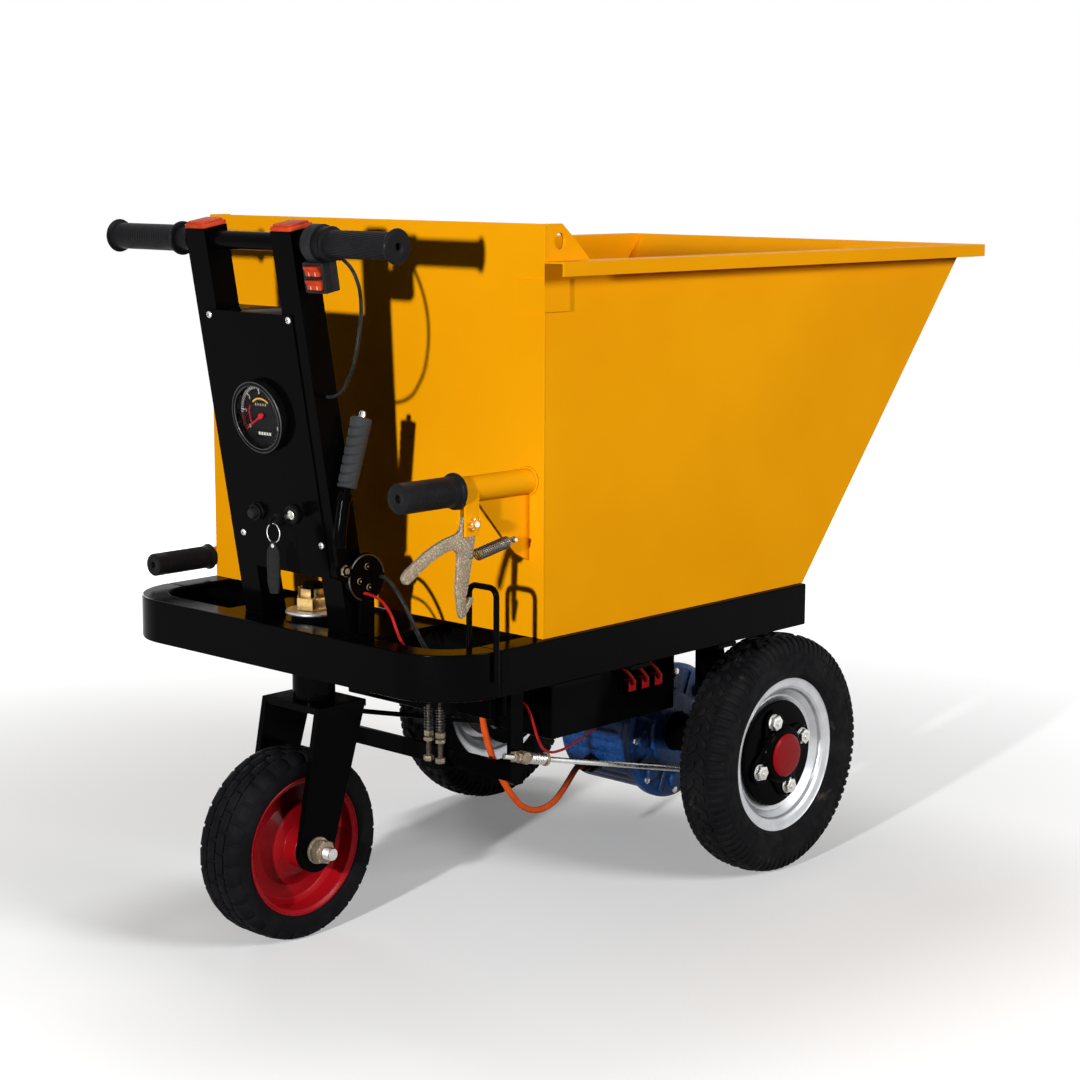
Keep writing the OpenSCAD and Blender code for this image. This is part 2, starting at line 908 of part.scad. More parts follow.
// Pod axes: centred on the pod, parallel to the column
module on_pod() {
    on_bar() translate([pod_x, -pod_arm / 2, -pod_drop]) children();
}

// Rocker on a pin along x, its upper half standing proud
module rocker(side) {
    back = rocker_size[1] / 2 - rocker_proud;
    front = -rocker_size[1] / 2 - rocker_proud;
    h = rocker_size[2] / 2;
    color("#c8451f")
        on_pod()
            translate([0, rocker_y, side * rocker_pitch / 2]) {
                plate_yz(-rocker_size[0] / 2, rocker_size[0])
                    polygon([
                        [back, -h], [back, h], [front, h], [-rocker_size[1] / 2, 0], [-rocker_size[1] / 2, -h]
                    ]);
                rod_x(rocker_pin_d, -rocker_pin_half, rocker_pin_half, 0, 0);
            }
}

module rocker_upper() {
    rocker(1);
}

module rocker_lower() {
    rocker(-1);
}

// Instruments on the panel

module gauge_case() {
    color("#232426")
        on_panel(0, gauge_w)
            difference() {
                union() {
                    translate([0, 0, -gauge_body_l]) cylinder(d = gauge_body_d, h = gauge_body_l);
                    cylinder(d = gauge_d, h = gauge_bezel_h);
                }
                difference() {
                    translate([0, 0, gauge_dial_z]) cylinder(d = gauge_well_d, h = gauge_bezel_h);
                    cylinder(d = gauge_pin_d, h = gauge_needle_z + gauge_needle_t + seat_gap);
                }
            }
}

module gauge_lens() {
    color([0.85, 0.9, 0.92, 0.35])
        on_panel(0, gauge_w)
            translate([0, 0, gauge_lens_z]) cylinder(d = gauge_well_d - 2 * run_fit, h = gauge_lens_t);
}

module gauge_needle() {
    color("#d8d8d4")
        on_panel(0, gauge_w)
            translate([0, 0, gauge_needle_z])
                difference() {
                    union() {
                        cylinder(d = gauge_needle_hub_d, h = gauge_needle_t);
                        rotate([0, 0, 120])
                            translate([-gauge_needle_w / 2, 0, 0])
                                cube([gauge_needle_w, gauge_needle_l, gauge_needle_t]);
                    }
                    translate([0, 0, -overrun])
                        cylinder(d = gauge_pin_d + 2 * run_fit, h = gauge_needle_t + 2 * overrun);
                }
}

module panel_bezels() {
    color("#2a2b2d") {
        on_panel(key_x, key_w) bezel(key_bezel_d, key_bezel_h, key_body_l, key_plug_d);
        on_panel(push_x, push_w) bezel(push_bezel_d, push_bezel_h, push_body_l, push_d);
    }
}

module bezel(face_d, face_h, body_l, bore_d) {
    difference() {
        union() {
            cylinder(d = face_d, h = face_h);
            translate([0, 0, -body_l]) cylinder(d = key_body_d, h = body_l);
        }
        translate([0, 0, -body_l - overrun])
            cylinder(d = bore_d + 2 * run_fit, h = body_l + face_h + 2 * overrun);
    }
}

// Lock plug and key: the bow stands upright with its eye at the outer end
key_eye_out = key_bezel_h + key_stem[2] + key_bow[2] - key_eye_in;

module key() {
    color("#a9adb2")
        on_panel(key_x, key_w) {
            translate([0, 0, -key_body_l + overrun])
                cylinder(d = key_plug_d, h = key_body_l + key_bezel_h - overrun);
            translate([-key_stem[0] / 2, -key_stem[1] / 2, key_bezel_h]) cube(key_stem);
            translate([-key_bow[0] / 2, 0, key_bezel_h + key_stem[2]])
                rotate([90, 0, 90])
                    linear_extrude(key_bow[0])
                        difference() {
                            translate([-key_bow[1] / 2, 0]) square([key_bow[1], key_bow[2]]);
                            translate([0, key_bow[2] - key_eye_in]) circle(d = key_eye_d);
                        }
        }
}

// Split ring through the key's eye with a strap fob below it, hanging plumb
module key_fob() {
    color("#1c1a18")
        translate(key_eye_point()) {
            translate([0, 0, -ring_drop]) rotate([90, 0, 0])
                rotate_extrude() translate([ring_r, 0]) circle(d = ring_wire);
            translate([-fob_size[0] / 2, -fob_size[1] / 2, -ring_drop - ring_r - fob_size[2]])
                cube(fob_size + [0, 0, fob_loop_d / 2]);
        }
}

// Place of the key's eye in machine axes
function key_eye_point() =
    let (v = -panel_t - key_eye_out, w = key_w, c = cos(column_lean), s = sin(column_lean))
    [key_x, column_y + v * c - w * s, deck_z + v * s + w * c];

module push_button() {
    color("#1d1d1f")
        on_panel(push_x, push_w)
            translate([0, 0, -push_tail]) cylinder(d = push_d, h = push_tail + push_bezel_h + push_proud);
}

// Hand brake

module brake_bracket() {
    color("#1a1a1b") {
        plate_yz(brake_x, bracket_t) {
            translate(brake_sector) circle(r = brake_sector_r);
            strip(brake_pivot, brake_sector, 2 * brake_boss_r);
            translate([brake_foot_y - brake_foot_w / 2, plate_top])
                square([brake_foot_w, brake_sector[1] - plate_top]);
        }
        rod_x(brake_pin_d, brake_x + bracket_t, lever_x + lever_t + move_gap, brake_pivot[0], brake_pivot[1]);
        rod_x(brake_boss_r, lever_x + lever_t + move_gap, lever_x + 2 * lever_t, brake_pivot[0],
            brake_pivot[1]);
        for (s = rivet_shares)
            rod_x(rivet_d, brake_x + bracket_t, brake_x + bracket_t + rivet_h,
                brake_sector[0] + s[0] * brake_sector_r, brake_sector[1] + s[1] * brake_sector_r);
        rod_x(cable_boss_d, brake_x + bracket_t, lever_x + lever_t, cable_boss_y, brake_sector[1]);
    }
}

// Lever axes along the grip: z runs from the neck to the tip
module on_lever() {
    translate([lever_mid, lever_neck[0], lever_neck[1]]) rotate([-lever_tilt, 0, 0]) children();
}

module brake_lever() {
    color("#26272a")
        difference() {
            union() {
                plate_yz(lever_x, lever_t) {
                    translate(brake_pivot) circle(r = brake_boss_r);
                    strip(brake_pivot, lever_knee, lever_strip);
                    strip(lever_knee, lever_neck, lever_strip);
                }
                on_lever() {
                    translate([0, 0, -lever_collar_l])
                        cylinder(d = lever_rod_d, h = lever_len + lever_collar_l);
                    translate([0, 0, -lever_collar_l]) cylinder(d = lever_collar_d, h = lever_collar_l);
                }
            }
            rod_x(brake_pin_d + 2 * run_fit, lever_x - overrun, lever_x + lever_t + overrun,
                brake_pivot[0], brake_pivot[1]);
            on_lever()
                translate([0, 0, lever_len - button_len])
                    cylinder(d = button_d + 2 * run_fit, h = button_len + overrun);
        }
}

module brake_grip() {
    color("#2c2d2f")
        on_lever()
            difference() {
                translate([0, 0, lever_grip_start])
                    cylinder(d = lever_grip_d, h = lever_len - lever_grip_start);
                translate([0, 0, lever_grip_start - overrun])
                    cylinder(d = lever_rod_d + 2 * run_fit, h = lever_len);
            }
}

module brake_button() {
    color("#c3c6ca")
        on_lever()
            translate([0, 0, lever_len - button_len / 2])
                cylinder(d = button_d, h = button_len / 2 + button_proud);
}

// Latch

module latch_loop() {
    top = loop_top;
    color("#161617") {
        rod_x(loop_d, loop_in_x + loop_bend, loop_out_x - loop_bend, loop_y, top);
        for (x = [loop_in_x, loop_out_x])
            translate([x, loop_y, deck_z - loop_foot_drop])
                cylinder(d = loop_d, h = top - loop_bend - deck_z + loop_foot_drop);
        loop_corner(loop_in_x + loop_bend, 90);
        loop_corner(loop_out_x - loop_bend, 0);
    }
}

module loop_corner(x, turn) {
    translate([x, loop_y, loop_top - loop_bend]) rotate([90, -turn, 0])
        rotate_extrude(angle = 90) translate([loop_bend, 0]) circle(d = loop_d);
}

module latch_hook() {
    color("#a8925a")
        difference() {
            plate_yz(hook_x - hook_t / 2, hook_t)
                translate(hook_pivot) {
                    circle(r = hook_eye_r);
                    strip([0, 0], hook_shank_end, hook_shank_w);
                    strip(hook_shank_end, hook_bill, hook_bill_w);
                    strip(hook_bill, hook_tail, hook_tail_w);
                    for (i = [0 : len(hook_arm) - 2])
                        strip(hook_arm[i], hook_arm[i + 1], hook_arm_w);
                }
            rod_x(pivot_d + 2 * run_fit, hook_x - hook_t, hook_x + hook_t, hook_pivot[0], hook_pivot[1]);
        }
}

// Extension spring between the hook's back edge and the peg on the gusset
shank_lean = atan(hook_shank_end[0] / hook_shank_end[1]);
spring_from = [
    hook_pivot[0] + spring_hook_z * tan(shank_lean) + hook_shank_w / 2 / cos(shank_lean) + spring_gap,
    hook_pivot[1] + spring_hook_z
];
spring_to = [spring_peg[0] - spring_peg_d / 2 - spring_gap, spring_peg[1]];
spring_run = spring_to - spring_from;
spring_len = norm(spring_run);
spring_path = helix(spring_d / 2, spring_len, spring_curls, spring_lead);

module latch_spring() {
    echo(latch_spring_gap = self_gap(spring_path, spring_wire));
    color("#6e7073")
        translate([hook_x, spring_from[0], spring_from[1]])
            rotate([-atan2(spring_run[0], spring_run[1]), 0, 0])
                tube(spring_path, [1, 0, 0], spring_wire, spring_sides);
}

// Drive unit

module axle_housing() {
    tip = backplate_x;
    color("#1c1d1f")
        difference() {
            union() {
                rod_x(axle_tube_d, -tip, tip, axle_y, wheel_r);
                both_sides() {
                    rod_x(2 * backplate_r, tip, tip + backplate_t, axle_y, wheel_r);
                    rod_x(cam_pin_d, tip - 2 * cam_gap - cam_t, tip, rod_end_y, rod_end_z + cam_l);
                }
            }
            both_sides()
                rod_x(shaft_d + 2 * run_fit, wheel_x - shaft_in - overrun, tip + backplate_t + overrun,
                    axle_y, wheel_r);
        }
}

module motor_housing() {
    color("#1f5fa8")
        difference() {
            union() {
                rod_x(motor_d, motor_x0, motor_x0 + motor_l, axle_y, wheel_r);
                rod_y(gland_collar_d, axle_y - motor_d / 2, axle_y - gland_collar_d, gland_pos[0],
                    gland_pos[1]);
                rod_y(gland_d, axle_y - motor_d / 2 - gland_l, axle_y - gland_collar_d, gland_pos[0],
                    gland_pos[1]);
            }
            rod_x(axle_tube_d + 2 * run_fit, motor_x0 - overrun, motor_x0 + motor_l + overrun, axle_y,
                wheel_r);
        }
}

// End cover with a ring of bolt bosses and a raised middle
module motor_cover() {
    x0 = motor_x0 + motor_l;
    color("#1f5fa8")
        difference() {
            union() {
                rod_x(motor_cover_d, x0, x0 + motor_cover_l - motor_rib_h, axle_y, wheel_r);
                rod_x(motor_cover_d * motor_hub_share, x0, x0 + motor_cover_l, axle_y, wheel_r);
                for (i = [0 : motor_cover_ribs - 1])
                    rod_x(motor_cover_rib_d, x0, x0 + motor_cover_l,
                        axle_y + motor_cover_d / 2 * motor_rib_share * cos(360 * i / motor_cover_ribs),
                        wheel_r + motor_cover_d / 2 * motor_rib_share * sin(360 * i / motor_cover_ribs));
            }
            rod_x(axle_tube_d + 2 * run_fit, x0 - overrun, x0 + motor_cover_l + overrun, axle_y, wheel_r);
        }
}

// Battery box with the controller on its front wall and terminals on its right wall
module battery_box() {
    z0 = rail_z - strap_t - battery_h;
    color("#1b1b1d")
        translate([-battery_half, battery_y[0], z0])
            cube([2 * battery_half, battery_y[1] - battery_y[0], battery_h]);
    color("#2b2c2e")
        translate([controller_x[0], battery_y[0] - controller_l, rail_z - strap_t - controller_h])
            cube([controller_x[1] - controller_x[0], controller_l, controller_h]);
    color("#b3241d")
        for (y = terminal_y)
            translate([battery_half, y - terminal_size[1] / 2, z0 + terminal_z]) cube(terminal_size);
}

// Brake linkage

module brake_swing() {
    bar_z = swing_pivot_z - swing_bar_drop - swing_w / 2;
    color("#1a1a1b") {
        both_sides()
            difference() {
                plate_yz(swing_x - swing_t / 2, swing_t) {
                    strip([swing_y, swing_pivot_z], [swing_y, swing_pivot_z - swing_bar_drop], swing_w);
                    translate([swing_y, bar_z]) square([swing_w / 2, swing_w]);
                }
                for (z = [swing_pivot_z, swing_pivot_z - swing_drop])
                    rod_x(swing_pin_d + 2 * run_fit, swing_x - swing_t, swing_x + swing_t, swing_y, z);
            }
        translate([-(swing_x - swing_t / 2), swing_y + swing_w / 2 - swing_t, bar_z])
            cube([2 * swing_x - swing_t, swing_t, swing_w]);
        translate([swing_ear_x - swing_ear_w / 2, swing_y + swing_w / 2 - swing_t - swing_ear_l, bar_z])
            cube([swing_ear_w, swing_ear_l, swing_t]);
        for (side = [-1, 1])
            translate([swing_ear_x + side * adjuster_pitch / 2, swing_y - swing_ear_l / 2, bar_z + swing_t]) {
                cylinder(d = adjuster_d, h = adjuster_l);
                cylinder(d = adjuster_nut_d, h = adjuster_nut_h, $fn = hex_sides);
            }
    }
}

// Rod axes: z runs from the swing pin to the cam pin
rod_run = [rod_end_y - swing_y, rod_end_z - swing_pivot_z + swing_drop];
rod_len = norm(rod_run);

module on_rod() {
    translate([rod_mid_x, swing_y, swing_pivot_z - swing_drop])
        rotate([-atan2(rod_run[0], rod_run[1]), 0, 0]) children();
}

module brake_rods() {
    color("#b4b7bb")
        both_sides() {
            pin_z = swing_pivot_z - swing_drop;
            rod_x(swing_pin_d, swing_x - swing_t / 2 - move_gap, rod_mid_x - rod_boss_l / 2, swing_y, pin_z);
            rod_x(rod_boss_d, rod_mid_x - rod_boss_l / 2, rod_mid_x + rod_boss_l / 2, swing_y, pin_z);
            on_rod() {
                translate([0, 0, -rod_start]) cylinder(d = rod_d, h = rod_len + rod_start + rod_d / 2);
                translate([0, 0, -rod_boss_d / 2 - rod_nut_l])
                    cylinder(d = rod_nut_d, h = rod_nut_l, $fn = hex_sides);
                translate([0, 0, rod_boss_d / 2 + rod_spring_l]) cylinder(d = rod_seat_d, h = rod_seat_l);
            }
            rod_x(rod_pin_d, rod_mid_x, backplate_x - rod_pin_gap, rod_end_y, rod_end_z);
        }
}

// Return springs on the brake rods, between the swivel boss and its seat
rod_spring_path = [
    for (i = [0 : rod_spring_curls * curl_rings])
        let (a = 360 * i / curl_rings)
        [rod_spring_r * cos(a), rod_spring_r * sin(a),
            rod_boss_d / 2 + rod_spring_wire
                + (rod_spring_l - 2 * rod_spring_wire) * i / (rod_spring_curls * curl_rings)]
];

module rod_springs() {
    echo(rod_spring_gap = self_gap(rod_spring_path, rod_spring_wire));
    color("#9a9da1")
        both_sides() on_rod() tube(rod_spring_path, [0, 0, 1], rod_spring_wire, spring_sides);
}

module cam_levers() {
    x0 = backplate_x - cam_gap - cam_t;
    top = rod_end_z + cam_l;
    color("#2a2b2d")
        both_sides()
            plate_yz(x0, cam_t)
                difference() {
                    strip([rod_end_y, top], [rod_end_y, rod_end_z], cam_w);
                    translate([rod_end_y, top]) circle(d = cam_pin_d + 2 * run_fit);
                    strip([rod_end_y, rod_end_z - (cam_slot_l - cam_slot_w) / 2],
                        [rod_end_y, rod_end_z + (cam_slot_l - cam_slot_w) / 2], cam_slot_w);
                }
}

// Caster

module caster_fork() {
    axle_y0 = caster_y - caster_trail;
    back = caster_y - crown_front;
    front = back + crown_l;
    half = fork_gap / 2;
    color("#161617")
        difference() {
            union() {
                translate([-half - fork_t, back, crown_top - fork_t])
                    cube([fork_gap + 2 * fork_t, crown_l, fork_t]);
                translate([0, caster_y, crown_top])
                    cylinder(d = stem_d,
                        h = head_top + stem_washer_t + seat_gap + castle_h + stem_stub - crown_top);
                both_sides()
                    plate_yz(half, fork_t) {
                        polygon([
                            [back, crown_top], [front, crown_top], [axle_y0 + fork_foot_r, caster_r],
                            [axle_y0 - fork_foot_r, caster_r]
                        ]);
                        translate([axle_y0, caster_r]) circle(r = fork_foot_r);
                    }
            }
            rod_x(caster_axle_d + 2 * run_fit, -half - fork_t - overrun, half + fork_t + overrun,
                axle_y0, caster_r);
        }
}

// Washer and castle nut on the stem, and the axle bolt with its washers and nuts
module caster_hardware() {
    washer_z = head_top + seat_gap;
    outer = fork_gap / 2 + fork_t;
    axle_y0 = caster_y - caster_trail;
    color("#b9995a") {
        difference() {
            union() {
                translate([0, caster_y, washer_z]) cylinder(d = stem_washer_d, h = stem_washer_t);
                translate([0, caster_y, washer_z + stem_washer_t])
                    cylinder(d = castle_d, h = castle_h, $fn = hex_sides);
            }
            translate([0, caster_y, washer_z - overrun])
                cylinder(d = stem_d + 2 * run_fit, h = stem_washer_t + castle_h + 2 * overrun);
            for (i = [0 : 2])
                translate([0, caster_y, washer_z + stem_washer_t + castle_h]) rotate([0, 0, 60 * i + 30])
                    cube([castle_d + overrun, castle_slot, 2 * castle_slot_h], center = true);
        }
        rod_x(caster_axle_d, -caster_axle_half, caster_axle_half, axle_y0, caster_r);
        both_sides()
            difference() {
                union() {
                    rod_x(caster_washer_d, outer, outer + caster_washer_t, axle_y0, caster_r);
                    translate([outer + caster_washer_t, axle_y0, caster_r]) rotate([0, 90, 0])
                        cylinder(d = caster_nut_d, h = caster_nut_h, $fn = hex_sides);
                }
                rod_x(caster_axle_d + 2 * run_fit, outer - overrun, outer + caster_axle_half, axle_y0,
                    caster_r);
            }
    }
}

module on_caster_axle() {
    translate([0, caster_y - caster_trail, caster_r]) children();
}

// Pressed rim with a dished disc each side of the hub
module caster_rim() {
    h = caster_rim_half;
    t = caster_rim_t;
    hub = fork_gap / 2 - caster_hub_gap;
    bore = caster_axle_d / 2 + run_fit;
    color("#b3161c")
        on_caster_axle()
            turned_x()
                polygon([
                    [bore, -hub], [caster_hub_r, -hub], [caster_hub_r, -h / 2], [caster_cone_r, -caster_dish],
                    [caster_rim_r - 2 * t, -caster_dish], [caster_rim_r - t, -h], [caster_rim_r, -h],
                    [caster_rim_r, h], [caster_rim_r - t, h], [caster_rim_r - 2 * t, caster_dish],
                    [caster_cone_r, caster_dish], [caster_hub_r, h / 2], [caster_hub_r, hub], [bore, hub]
                ]);
}

// Tyre section: bead between the rim flanges, round shoulders and a flat tread
module tyre_2d(bead, flange, bead_half, r, w) {
    side = [for (i = [0 : len(tread_r_shares) - 1])
        [flange + (r - flange) * tread_r_shares[i], w / 2 * tread_w_shares[i]]];
    polygon(concat(
        [[bead, -bead_half], [flange, -bead_half]],
        [for (q = side) [q[0], -q[1]]],
        [for (i = [len(side) - 1 : -1 : 0]) side[i]],
        [[flange, bead_half], [bead, bead_half]]));
}

module caster_tyre() {
    color("#1b1b1c")
        on_caster_axle()
            turned_x()
                tyre_2d(caster_rim_r + seat_gap, caster_rim_r + caster_bead_h, caster_rim_half, caster_r,
                    caster_w);
}

// Drive wheels, drawn for the right side with x outwards from the tyre middle

module on_wheel(side) {
    mirror([side, 0, 0]) translate([wheel_x, axle_y, wheel_r]) children();
}

module wheel_rim(side) {
    f = rim_half;
    color("#c9ccd0")
        on_wheel(side)
            difference() {
                turned_x()
                    polygon([
                        [rim_flange_d / 2, -f], [rim_flange_d / 2, rim_t - f], [bead_r, rim_t - f],
                        [bead_r, -f / 2],
                        [well_r, -f / 4], [well_r, f / 4], [bead_r, f / 2], [bead_r, f - rim_t],
                        [rim_flange_d / 2, f - rim_t], [rim_flange_d / 2, f], [bead_r - rim_t, f],
                        [bead_r - rim_t, f / 2 + rim_t], [well_r - rim_t, rim_disc_x + rim_disc_t],
                        [rim_hole_r, rim_disc_x + rim_disc_t], [rim_hole_r, rim_disc_x],
                        [well_r - rim_t, rim_disc_x], [well_r - rim_t, -f / 4], [bead_r - rim_t, -f / 2],
                        [bead_r - rim_t, -f]
                    ]);
                wheel_studs() cylinder(d = wheel_stud_d + 2 * run_fit, h = 2 * rim_half, center = true);
            }
}

module wheel_studs() {
    for (i = [0 : nut_count - 1])
        rotate([360 * i / nut_count + 20, 0, 0]) translate([0, 0, nut_pcd / 2]) rotate([0, 90, 0]) children();
}

module wheel_tyre(side) {
    color("#1b1b1c")
        on_wheel(side)
            turned_x()
                tyre_2d(bead_r + seat_gap, rim_flange_d / 2 + seat_gap, rim_half - rim_t - seat_gap, wheel_r,
                    wheel_w);
}

// Brake drum on its half-shaft, the clamping plate, its nuts and the dust cap
module wheel_hub(side) {
    face = rim_disc_x + rim_disc_t;
    color("#161617")
        on_wheel(side) {
            rotate([0, 90, 0]) {
                translate([0, 0, drum_x0]) cylinder(r = drum_r, h = drum_x1 - drum_x0);
                translate([0, 0, drum_x1]) cylinder(r = hub_neck_r, h = face - drum_x1);
                translate([0, 0, -shaft_in]) cylinder(d = shaft_d, h = shaft_in + drum_x0);
                translate([0, 0, face]) cylinder(r = hub_face_r, h = hub_face_t);
                translate([0, 0, face + hub_face_t]) cylinder(r = hub_boss_r, h = hub_boss_t);
            }
        }
    color("#b3161c")
        on_wheel(side)
            rotate([0, 90, 0])
                translate([0, 0, face + hub_face_t + hub_boss_t]) cylinder(r = hub_cap_r, h = hub_cap_t);
    color("#c3c6ca")
        on_wheel(side)
            wheel_studs() {
                translate([0, 0, face + hub_face_t])
                    cylinder(d = wheel_nut_d, h = wheel_nut_h, $fn = hex_sides);
                translate([0, 0, drum_x1]) cylinder(d = wheel_stud_d,
                    h = face + hub_face_t + wheel_nut_h + wheel_stud_h - drum_x1);
            }
}

module rim_right() {
    wheel_rim(0);
}

module rim_left() {
    wheel_rim(1);
}

module tyre_right() {
    wheel_tyre(0);
}

module tyre_left() {
    wheel_tyre(1);
}

module hub_right() {
    wheel_hub(0);
}

module hub_left() {
    wheel_hub(1);
}

// Hopper

module hopper_back() {
    color("#f2a900")
        translate([-hopper_half, 0, floor_z]) cube([hopper_w, hopper_t, hopper_back_h]);
}

module hopper_sides() {
    color("#f2a900")
        both_sides()
            plate_yz(hopper_in, hopper_t)
                polygon([
                    [hopper_t, floor_z], [hopper_floor_l, floor_z], [front_top_y, side_top],
                    [hopper_t, side_top]
                ]);
}

module hopper_floor() {
    end = hopper_floor_l - front_wall_y;
    color("#f2a900")
        plate_yz(-hopper_in, 2 * hopper_in)
            polygon([
                [hopper_t, floor_z], [end, floor_z], [end + hopper_t * front_slope, floor_z + hopper_t],
                [hopper_t, floor_z + hopper_t]
            ]);
}

module hopper_front() {
    color("#f2a900")
        plate_yz(-hopper_in, 2 * hopper_in)
            polygon([
                [hopper_floor_l, floor_z], [front_top_y, side_top], [front_top_y - front_wall_y, side_top],
                [hopper_floor_l - front_wall_y, floor_z]
            ]);
}

// Lips folded out and down along the sides and the front
module hopper_rim() {
    color("#f2a900") {
        both_sides()
            translate([hopper_half, 0, side_top]) {
                translate([0, 0, -hopper_t]) cube([lip_w, lip_end_y, hopper_t]);
                translate([lip_w - hopper_t, 0, -lip_drop]) cube([hopper_t, lip_end_y, lip_drop]);
            }
        plate_yz(-hopper_half, hopper_w)
            polygon([
                [front_top_y, side_top], [lip_end_y, side_top], [lip_end_y, side_top - lip_drop],
                [lip_end_y - hopper_t, side_top - lip_drop], [lip_end_y - hopper_t, side_top - hopper_t],
                [front_top_y - hopper_t * front_slope, side_top - hopper_t]
            ]);
    }
}

// Lifting eyes, corner patches, hinge knuckles, latch clevis, gusset and pivot bolt
module hopper_fittings() {
    color("#f2a900") {
        both_sides() lifting_eye();
        both_sides() corner_patch();
        both_sides() hinge_knuckle();
        latch_clevis();
    }
    color("#c3c6ca") latch_bolt();
}

module lifting_eye() {
    rise = hopper_back_h - hopper_side_h;
    plate_yz(hopper_half - lug_t, lug_t)
        difference() {
            polygon([
                [hopper_t, side_top], [hopper_t + lug_l, side_top],
                [hopper_t + lug_l * lug_crest_shares[1], side_top + rise * lug_crest_shares[1]],
                [hopper_t + lug_l * lug_crest_shares[0], side_top + rise], [hopper_t, side_top + rise]
            ]);
            translate([eye_y, side_top + eye_z]) circle(d = eye_d);
        }
}

module corner_patch() {
    translate([hopper_half - patch_w, -hopper_t, side_top - patch_drop - patch_h])
        cube([patch_w + hopper_t, hopper_t, patch_h]);
    translate([hopper_half, 0, side_top - patch_drop - patch_h]) cube([hopper_t, patch_w, patch_h]);
}

module hinge_knuckle() {
    plate_yz(hinge_x - knuckle_l / 2, knuckle_l)
        difference() {
            union() {
                translate([hinge_y, hinge_z]) circle(r = knuckle_r);
                translate([hinge_y - knuckle_r, hinge_z]) square([knuckle_r, floor_z - hinge_z]);
            }
            translate([hinge_y, hinge_z]) circle(d = hinge_pin_d + 2 * run_fit);
        }
}

// Two clevis plates and a gusset under the dump handle, and the peg that holds the spring
module latch_clevis() {
    difference() {
        for (x = [hook_x - hook_t / 2 - seat_gap - clevis_t, hook_x + hook_t / 2 + seat_gap])
            plate_yz(x, clevis_t)
                translate([hook_pivot[0] - clevis_w / 2, hook_pivot[1] - clevis_drop])
                    square([clevis_w, dump_z - hook_pivot[1] + clevis_drop]);
        rod_y(dump_tube_d + 2 * run_fit, -dump_l, 0, dump_x, dump_z);
        rod_x(pivot_d + 2 * run_fit, dump_x, hook_x + hook_t + clevis_t, hook_pivot[0], hook_pivot[1]);
    }
    gusset_top = dump_z - dump_tube_d / 2;
    plate_yz(dump_x - gusset_t / 2, gusset_t)
        polygon([
            [0, gusset_top], [-gusset_l, gusset_top],
            [spring_peg[0] - spring_peg_d, spring_peg[1] - spring_peg_d],
            [spring_peg[0] + 2 * spring_peg_d, spring_peg[1] - 4 * spring_peg_d], [0, gusset_top - gusset_h]
        ]);
    rod_x(spring_peg_d, dump_x + gusset_t / 2, hook_x + spring_peg_d, spring_peg[0], spring_peg[1]);
}

module latch_bolt() {
    right = hook_x + hook_t / 2 + seat_gap + clevis_t;
    left = hook_x - hook_t / 2 - seat_gap - clevis_t;
    rod_x(pivot_d, left - bolt_head_h, right, hook_pivot[0], hook_pivot[1]);
    translate([right, hook_pivot[0], hook_pivot[1]]) rotate([0, 90, 0])
        cylinder(d = bolt_head_d, h = bolt_head_h, $fn = hex_sides);
    difference() {
        translate([left - bolt_head_h, hook_pivot[0], hook_pivot[1]]) rotate([0, 90, 0])
            cylinder(d = bolt_head_d, h = bolt_head_h, $fn = hex_sides);
        rod_x(pivot_d + 2 * run_fit, left - bolt_head_h - overrun, left + overrun, hook_pivot[0],
            hook_pivot[1]);
    }
}

module hopper_handles() {
    color("#f2a900") {
        difference() {
            rod_y(dump_tube_d, -dump_l, 0, dump_x, dump_z);
            rod_y(dump_tube_d - 2 * dump_wall, -dump_l - overrun, overrun, dump_x, dump_z);
        }
        difference() {
            union() {
                rod_y(side_tube_d, -side_grip_l, side_tube_y, side_x, side_z);
                translate([side_x, side_weld_y, side_z - side_weld_h / 2])
                    cube([-hopper_half - side_x, side_tube_y - 2 * side_weld_y, side_weld_h]);
            }
            rod_y(side_tube_d - 2 * dump_wall, -side_grip_l - overrun, side_tube_y + overrun, side_x, side_z);
        }
    }
}

module hopper_grips() {
    color("#101011") {
        hand_grip(-dump_l, dump_grip_l, dump_grip_d, dump_flange_d, dump_tube_d, dump_x, dump_z);
        hand_grip(-side_grip_l, side_grip_l - side_grip_gap, side_grip_d, side_flange_d, side_tube_d,
            side_x, side_z);
    }
}

// Ribbed rubber grip whose closed end lies at the operator's end of a tube
module hand_grip(y_end, l, d, flange_d, tube_d, x, z) {
    difference() {
        union() {
            rod_y(d, y_end - grip_end_t, y_end + l, x, z);
            rod_y(flange_d, y_end - grip_end_t, y_end - grip_end_t + grip_flange_t, x, z);
            rod_y(flange_d, y_end + l - grip_flange_t, y_end + l, x, z);
        }
        rod_y(tube_d + 2 * run_fit, y_end - seat_gap, y_end + l + overrun, x, z);
    }
}

// Cords

module throttle_lead() {
    color("#141415") tube(throttle_lead_route, [0, 1, 0], throttle_lead_d, 8);
}

module motor_cable() {
    color("#e8590c") tube(motor_cable_route, [1, 0, 0], motor_cable_d, 10);
}

module red_wires() {
    color("#b3241d") {
        tube(brake_wire_route, [0, 0.2, 1], brake_wire_d, 8);
        tube(motor_wire_route, [0, 0.2, 1], motor_wire_d, 8);
    }
}

module brake_cable() {
    color("#6b6d70") tube(brake_cable_route, [0, 1, 0.3], brake_cable_d, 8);
}

